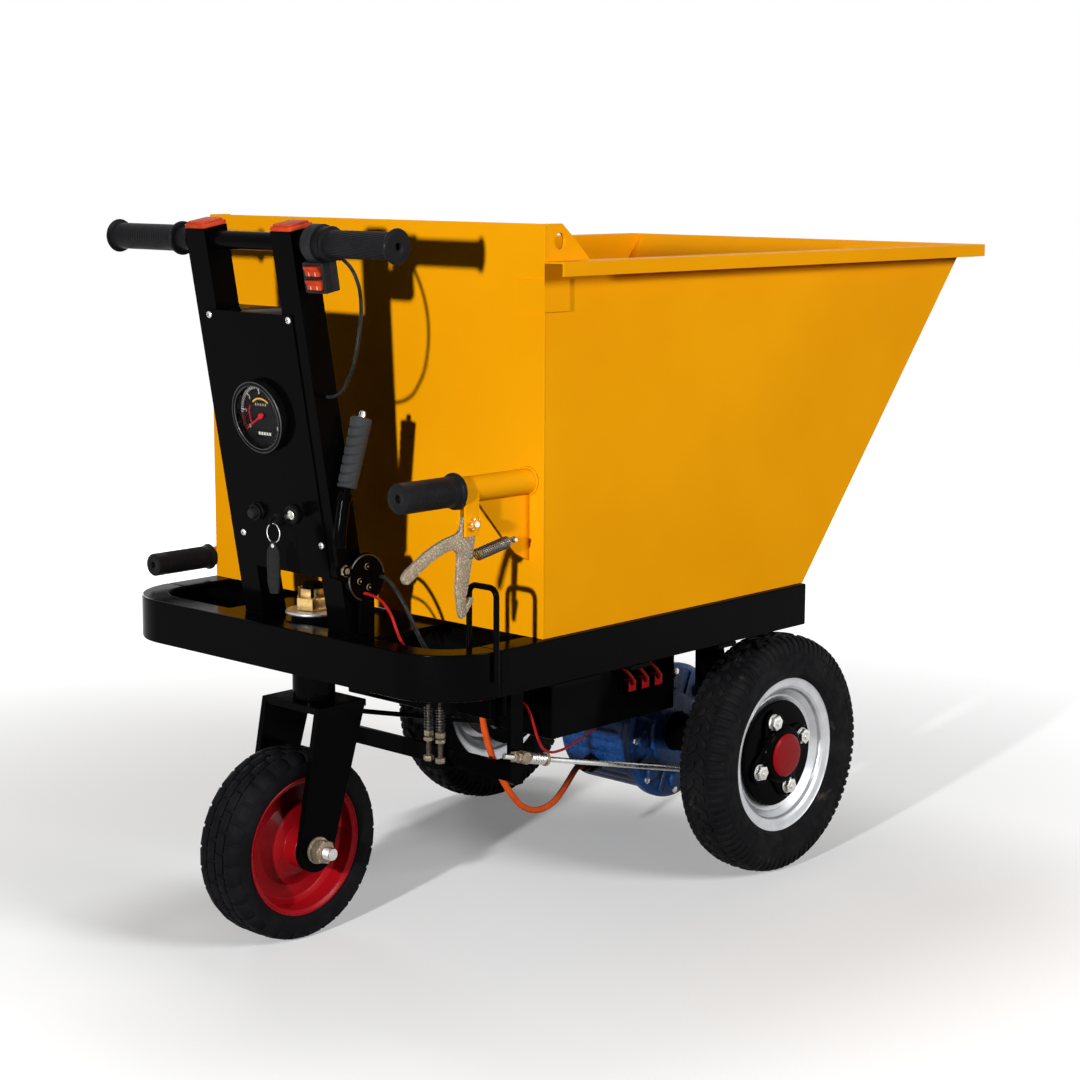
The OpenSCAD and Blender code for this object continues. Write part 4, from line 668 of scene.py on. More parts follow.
def smoothing_nodes():
    """Geometry nodes that shade a mesh smooth, except along its sharp edges."""
    tree = bpy.data.node_groups.new("smooth_by_angle", "GeometryNodeTree")
    for way in ("INPUT", "OUTPUT"):
        tree.interface.new_socket("Geometry", in_out=way, socket_type="NodeSocketGeometry")
    graph = Graph(tree)
    angle = graph.node("GeometryNodeInputMeshEdgeAngle")
    over = graph.node("FunctionNodeCompare")
    graph.fill(over.inputs[0], angle.outputs["Unsigned Angle"])
    graph.fill(over.inputs[1], SHARP_EDGE)
    faces = graph.node("GeometryNodeSetShadeSmooth", Geometry=graph.node("NodeGroupInput").outputs[0])
    edges = graph.node("GeometryNodeSetShadeSmooth", {"domain": "EDGE"}, Geometry=faces.outputs["Geometry"],
                       Selection=over.outputs["Result"], Shade_Smooth=False)
    graph.fill(graph.node("NodeGroupOutput").inputs[0], edges.outputs["Geometry"])
    return tree


SMOOTH = smoothing_nodes()


def dress_cad(mat, nodes, edge):
    """CAD nodes that stay in view: mesh joined up, edges eased by so many mm, material on."""
    for name in nodes:
        obj = NODES[name]
        obj.data.materials.clear()
        obj.data.materials.append(mat)
        for label, kind, settings in (
            ("weld", "WELD", {"merge_threshold": 0.00001}),
            ("flat", "DECIMATE", {"decimate_type": "DISSOLVE", "angle_limit": math.radians(0.5)}),
            ("edge", "BEVEL", {"width": edge * MM, "segments": 2, "limit_method": "ANGLE",
                               "angle_limit": SHARP_EDGE}),
            ("smooth", "NODES", {"node_group": SMOOTH}),
            ("normals", "WEIGHTED_NORMAL", {"keep_sharp": True}),
        ):
            modifier = obj.modifiers.new(label, kind)
            for key, value in settings.items():
                setattr(modifier, key, value)


dress_cad(YELLOW, ["hopper_back", "hopper_sides", "hopper_floor", "hopper_front", "hopper_rim"], 0.8)
dress_cad(YELLOW, ["hopper_fittings", "hopper_handles"], 0.6)
dress_cad(BLACK, ["side_rails", "front_rail"], 2.4)
dress_cad(BLACK, ["head_plate", "column_legs", "caster_fork", "frame_brackets"], 1.4)
dress_cad(BLACK, ["column_panel", "handlebar", "brake_bracket", "brake_lever", "brake_swing", "latch_loop"],
          0.5)
dress_cad(BLACK, ["axle_housing"], 0.8)
dress_cad(BLACK, ["battery_box"], 2.0)
dress_cad(PLASTIC, ["throttle_housing"], 1.2)
dress_cad(STEEL, ["hinge_pin"], 0.8)
dress_cad(DARK_STEEL, ["cam_levers"], 0.6)
dress_cad(LENS, ["gauge_lens"], 0.3)


# ---------------- wheels


class Wall:
    """Half of a tyre's section, from the crown down to the bead, as (radius, across) points."""

    def __init__(self, half):
        self.line = [Vector(p) for p in smooth_path(half)]
        self.walked = [0.0]
        for a, b in zip(self.line, self.line[1:]):
            self.walked.append(self.walked[-1] + (b - a).length)
        self.crown = self.line[0].x

    def place(self, distance):
        """The point so far from the crown, and the wall's outward direction there."""
        i = 0
        while i < len(self.line) - 2 and self.walked[i + 1] < distance:
            i += 1
        a, b = self.line[i], self.line[i + 1]
        t = (distance - self.walked[i]) / (self.walked[i + 1] - self.walked[i])
        along = (b - a).normalized()
        return a.lerp(b, t), Vector((along.y, -along.x))

    def carcass(self, sides):
        half = [tuple(p) for p in self.line]
        return ring(half + [(r, -a) for r, a in reversed(half[1:])], sides)


def lug(wall, stations, half_width, side=1, ease=1.1, root=1.4):
    """A closed tread lug; stations are (distance from the crown, height, turn in mm round the tyre)."""
    verts = []
    for distance, height, turned in stations:
        p, n = wall.place(distance)
        e = min(ease, 0.6 * height)
        section = [(-half_width, -root), (-half_width, height - e), (e - half_width, height),
                   (half_width - e, height), (half_width, height - e), (half_width, -root)]
        for across, rise in section:
            r = p.x + n.x * rise
            a = (turned + across) / wall.crown
            verts.append((*polar(r, a), side * (p.y + n.y * rise)))
    ends = [list(range(6)), list(range(len(verts) - 6, len(verts)))]
    return verts, bands(len(stations), 6) + ends


def tread(shape, place, wall, count, stations, half_width, offset=0.0):
    """The same lug on both halves of a tyre, count times round it; offset is a share of the pitch."""
    for side in (1, -1):
        part = lug(wall, stations, half_width, side)
        for k in range(count):
            shape.add(part, place @ turn(360 * (k + offset + 0.25 * (side - 1)) / count, "Z"))


def tyre_shape(place, wall, sides, treads, seams, seam_r):
    """A tyre's carcass with its treads and the fine raised seams round its walls."""
    shape = Shape(wall.carcass(sides), place)
    for pattern in treads:
        tread(shape, place, wall, *pattern)
    for face in (1, -1):
        for radius, across in seams:
            shape.add(torus(radius, seam_r, sides, 8), place @ shift(0, 0, face * across))
    return shape


def drive_wheel(side, suffix):
    """Tyre, silver rim and black hub; z runs outwards from the tyre's middle."""
    place = shift(side * WHEEL_X, *AXLE) @ turn(90 * side, "Y")
    body = "wheel_" + suffix

    wall = Wall([(180.8, 0), (179.6, 18), (175.6, 30), (167.5, 36.6), (155, 39.2), (140, 39.4), (126, 36.6),
                 (118.6, 30)])
    shoulder = [(18, 1.2, 0), (20, 3.6, 0), (30, 3.4, 0), (38, 2.6, 0), (45, 1.6, 0), (51, 0.5, 0)]
    middle = [(0.8, 3.2, 0), (2.5, 4, 1.4), (9, 3.9, 6), (14, 3.6, 9.5), (15.6, 2.2, 10.6)]
    tyre = tyre_shape(place, wall, 128, ((84, shoulder, 4.3), (42, middle, 5.2, 0.5)),
                      ((124.5, 35.6), (133, 38.4), (157.5, 39.1)), 0.7)
    tyre.make("drive_tyre_" + suffix, DRIVE_TYRE, body, replaces=["tyre_" + suffix], slot="tyre_rubber",
              sharp=50)

    rim = Shape()
    bed = [(119, 25.5), (116.5, 24), (108, 23), (104, 21), (102, 16), (97, 12), (92, 8)]
    lip = [(118.6, 28.6), (114.5, 27.2), (106, 25.8), (101.6, 23.4), (99.4, 18), (94.6, 14), (89.6, 9.6)]
    outer = rounded(bed, 2.5, 3, closed=False)
    inner = rounded(lip, 2.5, 3, closed=False)
    rim.add(ring(outer + [(r, -a) for r, a in outer[::-1] + inner] + inner[::-1], 128), place)
    for face in (1, -1):
        rim.add(torus(118.4, 1.7, 128, 12), place @ shift(0, 0, face * 27.2))
    disc = [(30, 4), (30, 9), (74, 9), (82, 8.4), (86, 10), (90.5, 12.5), (90.5, 7.5), (84, 3.8), (74, 4)]
    rim.add(ring(rounded(disc, 2, 3), 128), place)
    rim.make("drive_rim_" + suffix, SILVER, body, replaces=["rim_" + suffix], sharp=32)

    hub = Shape()
    plate = [(0, 9), (80, 9), (82, 10.5), (82, 14), (80.6, 15.8), (77, 16.4), (60, 17), (0, 17)]
    hub.add(lathe(plate, 96), place)
    around = [TAU * k / 120 for k in range(120)]
    star = [polar(58.5 + 15.5 * math.cos(4 * (a - math.radians(20))), a) for a in around]
    hub.add(prism(star, 6, 1.8, 3), place @ shift(0, 0, 16))
    hub.add(lathe([(0, 16), (47, 16), (45, 24), (43.5, 28.5), (41, 30.5), (37, 31), (0, 31)], 96), place)
    nuts = Shape()
    for k in range(4):
        spot = place @ turn(20 + 90 * k, "Z") @ shift(56, 0, 0)
        hub.add(torus(15.2, 1.8, 40, 10), spot @ shift(0, 0, 21.6))
        washer = [(5, 21.6), (12.6, 21.6), (13.2, 22.2), (12.4, 23.4), (5, 23.4)]
        nuts.add(ring(washer, 40), spot)
        nuts.add(hex_nut(20.6, 8.4, 1.4), spot @ shift(0, 0, 22.6) @ turn(11 * k, "Z"))
        nuts.add(thread(11, 5, 1.25, 0.5), spot @ shift(0, 0, 23))
    hub.make("drive_hub_" + suffix, BLACK, body, replaces=["hub_" + suffix], sharp=34)
    nuts.make("hub_nuts_" + suffix, STEEL, body, replaces=["hub_" + suffix], sharp=30)
    cap = [(0, 30.8), (31.6, 30.8), (33, 32), (33, 34.2), (31.4, 35.8), (27, 36.6), (12, 37), (0, 37)]
    Shape(lathe(cap, 72), place).make("hub_cap_" + suffix, RED, body, replaces=["hub_" + suffix])
    drum = [(0, -14), (74, -14), (77.6, -16.5)]
    for k in range(4):
        drum += [(78, -20 - 8 * k), (78, -23 - 8 * k), (76, -24.5 - 8 * k), (76, -26.5 - 8 * k)]
    drum += [(77.6, -51), (74, -54), (30, -54), (22, -60), (12.5, -64), (12.5, -149), (11, -150), (0, -150)]
    Shape(lathe(drum, 72), place).make("brake_drum_" + suffix, DARK_STEEL, body, replaces=["hub_" + suffix],
                                       slot="black_paint", sharp=30)


drive_wheel(1, "right")
drive_wheel(-1, "left")


def caster_wheel():
    wall = Wall([(131.2, 0), (131, 20), (129.6, 31), (125.6, 36.8), (116, 39), (105, 38), (97.4, 33.5)])
    middle = [(1.6, 2.6, 0), (3, 3.6, 0), (9, 3.6, 0.8), (14.4, 3.5, 1.6), (15.8, 2.4, 1.8)]
    shoulder = [(18.6, 2.4, 0), (20, 3.5, 0), (27, 3.3, 0), (33, 2.6, 0), (38.5, 1.6, 0), (43, 0.5, 0)]
    tyre = tyre_shape(CASTER, wall, 112, ((28, middle, 12.6), (28, shoulder, 12.9, 0.5)),
                      ((100.5, 35.8), (121, 38.1)), 0.6)
    tyre.make("caster_tyre_tread", TYRE, "caster_wheel", replaces=["caster_tyre"], sharp=50)

    half = rounded([(10, 49), (28, 49), (30, 47), (30, 25), (42, 20), (60, 9), (80, 6.5), (87, 12), (90, 32),
                    (97, 35.6), (98.6, 34)], 3, 4, closed=False)
    rim = Shape(ring(half + [(r, -a) for r, a in reversed(half)], 112), CASTER)
    for face in (1, -1):
        rim.add(torus(97, 1.6, 112, 10), CASTER @ shift(0, 0, face * 34.4))
    rim.make("caster_rim_red", RED, "caster_wheel", replaces=["caster_rim"], sharp=34)


caster_wheel()


def caster_fittings():
    """Axle bolt with its washers and nuts, and the castle nut on the stem."""
    axle = Shape(rod(150, 9, 0.6), CASTER @ shift(0, 0, -75))
    nuts = Shape()
    for side in (1, -1):
        end = CASTER @ turn(90 - 90 * side, "X")
        axle.add(thread(31, 8.9, 1.75, 0.7, 28), end @ shift(0, 0, 61))
        nuts.add(ring(rounded([(9, 60.1), (19, 60.1), (19, 64), (9, 64)], 0.8, 3), 48), end)
        nuts.add(hex_nut(30.6, 14.6, 2.2), end @ shift(0, 0, 64.2) @ turn(14, "Z"))
    axle.make("caster_axle_bolt", STEEL, "fork", replaces=["caster_hardware"], sharp=30)
    nuts.make("caster_axle_nuts", ZINC, "fork", replaces=["caster_hardware"], sharp=30)

    washer = rounded([(15.2, 455.4), (38.6, 455.4), (39, 458), (37, 460.2), (15.2, 460.2)], 1.2, 3)
    under = Shape(ring(washer, 64), STEM)
    under.make("stem_washer", SILVER, "fork", replaces=["caster_hardware"], slot="bright_steel")
    castle = Shape(hex_nut(43, 19, 2.2), STEM @ shift(0, 0, 460.4) @ turn(17, "Z"))
    for k in range(6):
        first, last = TAU * (k + 0.12) / 6, TAU * (k + 0.88) / 6
        wedge = arc(20.5, first, last, 8) + arc(15.4, first, last, 8)[::-1]
        castle.add(prism(wedge, 13, 0.8), STEM @ shift(0, 0, 478.6) @ turn(17, "Z"))
    castle.make("stem_castle_nut", BRASS, "fork", replaces=["caster_hardware"], slot="yellow_zinc", sharp=30)
    bolt = Shape(thread(32, 15, 2, 0.8, 40), STEM @ shift(0, 0, 456))
    bolt.add(rod(6, 14, 1.6), STEM @ shift(0, 0, 483))
    bolt.make("stem_thread", STEEL, "fork", replaces=["caster_hardware"], sharp=30)


caster_fittings()


# ---------------- panel


def panel_fold():
    """The panel's top edge, folded back between the legs and down again."""
    sheet = rounded([(1, 432.6), (35, 432.6), (35, 416), (37.4, 416), (37.4, 435), (1, 435)], 0.9, 3)
    fold = Shape(prism(sheet, 134, 0.4), COLUMN @ shift(-67, 0, 0) @ SIDEWAYS)
    fold.make("panel_top_fold", BLACK, sharp=34)


panel_fold()


# ---------------- grips and handles


def ribbed(depth, pitch, first, last, spread=1.15):
    """A lathe shape with fine ribs in two oval fields, one on either side."""
    middle, half = (first + last) / 2, (last - first) / 2

    def shape(r, h, a):
        u = (h - middle) / half
        away = min(abs((a - c + math.pi) % TAU - math.pi) for c in (0, math.pi))
        field = max(0.0, min(1.0, 4 * (1 - u * u - (away / spread) ** 2)))
        return r - depth * field * (0.5 + 0.5 * math.cos(TAU * (h - first) / pitch))

    return shape


def grip_profile(length, radius, flange_r, hole_r, end_flange, step=0.7):
    """A closed rubber grip along z with its outer end at 0 and its flange at the far end."""
    end_r = flange_r if end_flange else radius
    profile = [(0, 7), (hole_r, 7), (hole_r + 0.4, 0.7), (hole_r + 1.2, 0.1), (end_r - 3, 0),
               (end_r - 1, 0.7), (end_r, 2.4)]
    if end_flange:
        profile += [(end_r - 0.6, 4.2), (radius + 0.6, 5.4), (radius, 7)]
    start = profile[-1][1] + 0.6
    steps = int((length - 9 - start) / step)
    profile += [(radius, start + step * k) for k in range(steps + 1)]
    return profile + [(radius + 0.5, length - 6.4), (flange_r - 1, length - 5.2), (flange_r, length - 3.6),
                      (flange_r, length - 1.6), (flange_r - 1.4, length - 0.1), (0, length - 0.1)]


def hopper_hand_grips():
    grips = Shape()
    grips.add(lathe(grip_profile(102, 20, 24, 5, False), 96, shape=ribbed(0.8, 2.8, 20, 88)),
              shift(DUMP_HANDLE_X, -238, DUMP_HANDLE_Z) @ ALONG_Y)
    grips.add(lathe(grip_profile(108, 17, 19.5, 4.5, False), 96, shape=ribbed(0.8, 2.8, 14, 98, 4)),
              shift(-354.3, -109, 479) @ ALONG_Y)
    grips.make("hopper_rubber_grips", GRIP, "hopper", replaces=["hopper_grips"], sharp=40)


hopper_hand_grips()

left = Shape(lathe(grip_profile(146, 18, 23, 4.5, True), 96, shape=ribbed(0.35, 5.2, 20, 131, 4)),
             BAR @ shift(-BAR_END, 0, 0) @ ALONG_X)
left.add(ring(rounded([(12.7, 0), (16, 0), (16, 22), (12.7, 22)], 1.2, 3), 64),
         BAR @ shift(-138.6, 0, 0) @ ALONG_X)
left.make("left_rubber_grip", GRIP, replaces=["left_grip"], sharp=40)


def slanted(r, h, a):
    """Slanted ridges round the twist grip, between its end flanges."""
    if not 12 < h < 114:
        return r
    return r - 0.8 * (0.5 + 0.5 * math.cos(26 * (a + h / 90))) ** 2


twist = Shape(lathe(grip_profile(126.3, 18, 23, 4.5, True, 1.5), 208, shape=slanted),
              BAR @ shift(BAR_END, 0, 0) @ turn(-90, "Y"))
twist.make("throttle_twist_grip", GRIP, "throttle", replaces=["throttle_grip"], sharp=40)


# ---------------- column: caps, screws, gauge, key, switches

caps = Shape()
for x in LEGS_X:
    caps.add(block(41.8, 41.8, 5.9, 5, 1.6), COLUMN @ shift(x, 20, 548))
    caps.add(block(36, 36, 3, 5, 1.3), COLUMN @ shift(x, 20, 552.3))
caps.make("leg_end_caps", ORANGE, replaces=["column_caps"], slot="red_paint")

# The crosses are black blocks set flush into the steel heads: painted shade standing for the shade inside the
# cross recesses.
screws, cross_recess_shade = Shape(), Shape()
for x in (-81, 81):
    for w in (118, 428):
        head = on_panel(x, w) @ turn(7 * w + x, "Z")
        screws.add(lathe([(0, 0), (5, 0), (5, 1.1), (4.3, 2.2), (2.6, 2.9), (0, 3.1)], 28), head)
        for angle in (0, 90):
            cross_recess_shade.add(block(5.4, 1.1, 0.7, 0.3, 0.1), head @ turn(angle, "Z") @ shift(0, 0, 2.75))
screws.make("panel_screw_heads", STEEL, replaces=["panel_screws"])
cross_recess_shade.make("panel_screw_recess_shade", BLACK, replaces=["panel_screws"])


def gauge():
    face = on_panel(0, 293)
    case = ["gauge_case"]
    bezel = rounded([(44, 1), (44, 11.8), (45.4, 14), (47.6, 14), (50, 11.6), (50, 0.2), (45, 0.2)], 1, 3)
    Shape(ring(bezel, 96), face).make("gauge_bezel", PLASTIC, replaces=case)
    trim = Shape(torus(48.8, 0.9, 96, 10), face @ shift(0, 0, 12.2))
    trim.add(torus(44.2, 0.7, 96, 10), face @ shift(0, 0, 12.6))
    trim.make("gauge_trim_rings", DARK_STEEL, replaces=case, slot="bright_steel")
    dial = lathe([(0, 0.2), (44.6, 0.2), (44.6, 2), (0, 2)], 96)
    Shape(dial, face).make("gauge_dial", PLASTIC, replaces=case)
    white, yellow, red = Shape(), Shape(), Shape()
    for k in range(49):
        a = 210 - 5 * k
        long = k % 8 == 0
        mark = block(7.0 if long else 4.6, 1.5 if long else 0.9, 0.3, 0.1, 0.05)
        target = red if k <= 6 else yellow if k > 40 else white
        target.add(mark, face @ turn(a, "Z") @ shift(39.4 if long else 40.4, 0, 2.1))
        if long:
            white.add(numeral(str(k // 8), 7.4), face @ shift(*polar(32.6, math.radians(a)), 2.15))
    for first, last, radius, target in ((50, 130, 24, yellow), (150, 205, 26, red)):
        span = (math.radians(first), math.radians(last), 24)
        target.add(prism(arc(radius + 1.1, *span) + arc(radius - 1.1, *span)[::-1], 0.3, 0.05),
                   face @ shift(0, 0, 1.95))
    for k in range(5):
        white.add(block(1.1, 3.4, 0.3, 0.1, 0.05), face @ shift(5 * k - 10, 15.5, 2.1))
        white.add(block(3.4, 4.2, 0.3, 0.6, 0.05), face @ shift(5.4 * k - 10.8, -25, 2.1))
    white.make("gauge_white_marks", WHITE, replaces=case)
    yellow.make("gauge_yellow_marks", YELLOW_INK, replaces=case, slot="white_plastic")
    red.make("gauge_red_marks", RED_PLASTIC, replaces=case, slot="red_paint")
    hand = face @ turn(120, "Z")
    needle = [(-1.6, -7), (1.6, -7), (1.2, 10), (0.4, 34), (-0.4, 34), (-1.2, 10)]
    pointer = Shape(prism(needle, 1.2, 0.2), hand @ shift(0, 0, 4.2))
    pointer.add(lathe([(0, 2.4), (4, 2.4), (4, 5.8), (3.2, 6.6), (0, 6.8)], 32), hand)
    pointer.make("gauge_pointer", RED_PLASTIC, "needle", replaces=["gauge_needle"], slot="orange_plastic")


gauge()


KEY_EYE = (32, -202.2, 597.8)  # middle of the hole in the key's head


def key_and_button():
    lock, press = on_panel(32, 157), on_panel(-43, 153)
    collars = Shape()
    for profile, sides, place in (
        ([(4.6, 0), (4.6, 4.2), (8, 6), (11.6, 6), (13.2, 4.8), (14, 2.4), (14, 0)], 56, lock),
        ([(7.3, 0), (7.3, 6.6), (8.2, 8), (10.6, 8), (11.8, 6.8), (12, 0)], 48, press),
        ([(8.6, 0), (8.6, 2.4), (13.6, 2.4), (14.4, 1.6), (14.4, 0)], 6, press),
    ):
        collars.add(ring(profile, sides), place)
    collars.make("panel_collars", PLASTIC, replaces=["panel_bezels"], sharp=30)
    button = lathe([(0, 1), (6.9, 1), (6.9, 13.4), (6, 14.7), (3, 15), (0, 15)], 40)
    Shape(button, press).make("start_button", GREY_PLASTIC, "button", replaces=["push_button"],
                              slot="black_plastic")

    on_edge = lock @ Matrix(((0, 0, 1, 0), (0, 1, 0, 0), (1, 0, 0, 0), (0, 0, 0, 1)))  # x out of the lock
    shank = rounded([(1, -3.8), (20, -3.8), (20, -9.6), (31, -9.6), (33, -5), (33, 5), (31, 9.6), (20, 9.6),
                     (20, 3.8), (1, 3.8)], 1.2, 3)
    blade = Shape(prism(shank, 2.3, 0.3), on_edge @ shift(0, 0, -1.15))
    blade.add(lathe([(0, 0.5), (6.6, 0.5), (6.6, 5.6), (5.8, 6.2), (0, 6.2)], 32), lock)
    blade.make("ignition_key_blade", STEEL, "ignition_key", replaces=["key"], sharp=30)
    bow = rounded([(18, -10), (32.8, -10), (32.8, 10), (18, 10)], 3.5, 4)
    eye = rounded([(3.5, -1.15), (7.4, -1.15), (7.4, 1.15), (3.5, 1.15)], 0.4, 2)
    head = Shape(prism(bow, 6, 1.4), on_edge @ shift(0, 0, -3))
    head.add(ring(eye, 36), on_edge @ shift(37, 0, 0))
    head.make("ignition_key_head", PLASTIC, "ignition_key", replaces=["key"], sharp=34)

    hang = shift(*KEY_EYE) @ shift(0, 0, -15.4)
    loop = Shape(torus(13, 0.8, 56, 10), hang @ turn(90, "X"))
    loop.make("key_ring", STEEL, "fob", replaces=["key_fob"])
    strap = rounded([(-5, -10.5), (5, -10.5), (6, -16), (12, -24), (13, -34), (12, -68), (9, -82), (-7, -84),
                     (-12, -70), (-13, -36), (-12, -24), (-6, -16)], 4, 4)
    fob = Shape(prism(strap, 3.6, 1), hang @ shift(0, 1.8, 0) @ UPRIGHT)
    for side in (-1, 1):
        for k in range(13):
            for face in (-1.75, 1.75):
                fob.add(block(0.9, 0.7, 2.6, 0.3, 0.2), hang @ shift(side * 9.8, face, -29 - 3.6 * k))
    fob.make("key_fob_strap", LEATHER, "fob", replaces=["key_fob"])
    rivet = Shape(lathe([(0, 0), (3.2, 0), (3, 0.8), (1.6, 1.4), (0, 1.5)], 24),
                  hang @ shift(0, -1.4, -17) @ turn(90, "X"))
    rivet.make("key_fob_rivet", STEEL, "fob", replaces=["key_fob"])


key_and_button()


def switches():
    pod = BAR @ shift(POD_X, -4, -42)
    case = Shape(block(40, 16, 40, 4, 1.6), pod @ shift(0, 5, 0))
    for x in (-17.4, 17.4):
        case.add(block(5.2, 12, 40, 1.8, 1.2), pod @ shift(x, -7, 0))
    for z, height in ((18.2, 3.6), (0, 2.8), (-18.2, 3.6)):
        case.add(block(32, 12, height, 0.8, 0.6), pod @ shift(0, -7, z))
    case.add(block(16, 8, 22, 1.5, 0.8), pod @ shift(0, 9, 30))
    clamp = [(22.2, -9), (22.2, 9), (24.6, 9), (25.4, 8), (25.4, -8), (24.6, -9)]
    case.add(ring(clamp, 56), BAR @ shift(POD_X, 0, 0) @ ALONG_X)
    case.make("switch_pod_case", GREY_PLASTIC, replaces=["switch_pod"], slot="black_plastic", sharp=34)
    for z, name, body in ((9, "upper", "rocker_a"), (-9, "lower", "rocker_b")):
        outline = rounded([(2, -6.4), (2, 6.4), (-8, 6.4), (-7, 3.4), (-5.2, 0), (-5, -6.4)], 1.1, 3)
        cap = Shape(prism(outline, 27.6, 1.1), pod @ shift(-13.8, -10.4, z) @ SIDEWAYS)
        cap.make("rocker_cap_" + name, ORANGE, body, replaces=["rocker_" + name])
        marks = Shape()
        for x in (-6, 6):
            marks.add(block(1.4, 0.6, 5, 0.4, 0.15), pod @ shift(x, -15.3, z - 3.4))
        marks.make("rocker_marks_" + name, WHITE, body, replaces=["rocker_" + name])


switches()


# ---------------- hand brake


LEVER_X = 123
LEVER_RISE, LEVER_LEAN = 100, 31  # from the grip's lower end to its upper end
SLIT_PITCH = 12.5
SECTOR_Y, SECTOR_Z, SECTOR_R = -114, 521, 31.5


def slits(r, h, a):
    """Six slanting finger slits across the front of the brake grip."""
    front = max(0.0, math.cos(a - math.radians(250)) + 0.35) / 1.35
    place = (h - 18 - 5 * math.sin(a)) / SLIT_PITCH
    near = abs(place - round(place)) * SLIT_PITCH
    return r - (2.6 * front**0.5 * math.exp(-((near / 1.1) ** 2)) if -0.4 < place < 6.4 and r > 12 else 0)


def hand_brake():
    lever = shift(LEVER_X, -154, 640) @ turn(-math.degrees(math.atan2(LEVER_LEAN, LEVER_RISE)), "X")
    top = math.hypot(LEVER_LEAN, LEVER_RISE)
    profile = [(0, 8), (11.4, 8), (12.6, 8.5), (13.2, 9.6), (13.2, 12)]
    profile += [(13.2 + 1.0 * k / 160, 12.5 + 0.5 * k) for k in range(161)]
    profile += [(14.3, 95), (14.5, top - 5), (14.5, top - 2.4), (13, top - 0.6), (5.4, top), (0, top)]
    grip = Shape(lathe(profile, 72, shape=slits), lever)
    grip.make("hand_brake_grip", BRAKE_RUBBER, "hand_brake", replaces=["brake_grip"], slot="black_rubber",
              sharp=50)
    bend = ((-156.6, 631), (-160, 612), (-164, 590), (-165.6, 568))
    shank = tube(smooth_path([(LEVER_X, y, z) for y, z in bend]), 9, 20)
    Shape(shank).make("hand_brake_shank", BLACK, "hand_brake", sharp=50)
    knob = [(0, top - 12), (4.5, top - 12), (4.5, top + 6.4), (3.6, top + 8.4), (2, top + 9), (0, top + 9)]
    Shape(lathe(knob, 32), lever).make("release_button", STEEL, "brake_release", replaces=["brake_button"])
    rivets = Shape()
    for y, z in ((-112.3, 536.3), (-125.9, 517.6), (-108.9, 507.4)):
        rivets.add(lathe([(0, 0), (4.6, 0), (4.5, 0.8), (3.4, 1.7), (1.6, 2.1), (0, 2.2)], 28),
                   shift(119.4, y, z) @ ALONG_X)
    pivot = shift(126.6, -160, 537) @ ALONG_X
    rivets.add(hex_nut(14, 5.2, 1.1), pivot)
    rivets.add(lathe([(0, 5), (4, 5), (4, 6.2), (3, 6.8), (0, 6.8)], 24), pivot)
    rivets.make("brake_rivets", ZINC, sharp=30)
    rim = [(119.8, SECTOR_Y + y, SECTOR_Z + z) for y, z in polygon(40, SECTOR_R)[:29]]
    Shape(tube(rim, 1.3, 8)).make("brake_sector_rim", DARK_STEEL, slot="black_paint")

    cable = Shape(tube(smooth_path(BRAKE_CABLE_ROUTE), 3, 14))
    cable = cable.make("brake_cable_sheath", BLACK_SHEATH, None, replaces=["brake_cable"], sharp=60)
    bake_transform(cable)


hand_brake()


# ---------------- latch

HOOK_PIVOT = (-122, 619)  # y and z, as for the peg below
HOOK_OUTLINE = [
    (14, 4), (8, 13), (-3, 15.5), (-12, 10), (-15, 2), (-17, -8), (-26, -12), (-46, -15.5), (-66, -22.5),
    (-82, -29.5), (-100, -40), (-117, -50), (-121, -58), (-114, -66.5), (-105, -64), (-90, -54), (-74, -44.5),
    (-58, -37.5), (-42, -32.5), (-30, -30.5), (-21, -36), (-21.5, -50), (-23.5, -70), (-24.5, -86),
    (-22, -100), (-19.5, -118), (-14, -124.5), (-8, -119.5), (0, -110), (7, -102.5), (6, -97), (1, -97),
    (-5, -104), (-8.5, -104), (-7.5, -95), (-3.5, -87), (2, -60), (6.5, -35), (12, -10),
]
SPRING_X = 322
PEG = (-38, 588)  # the peg that holds the latch spring's far end


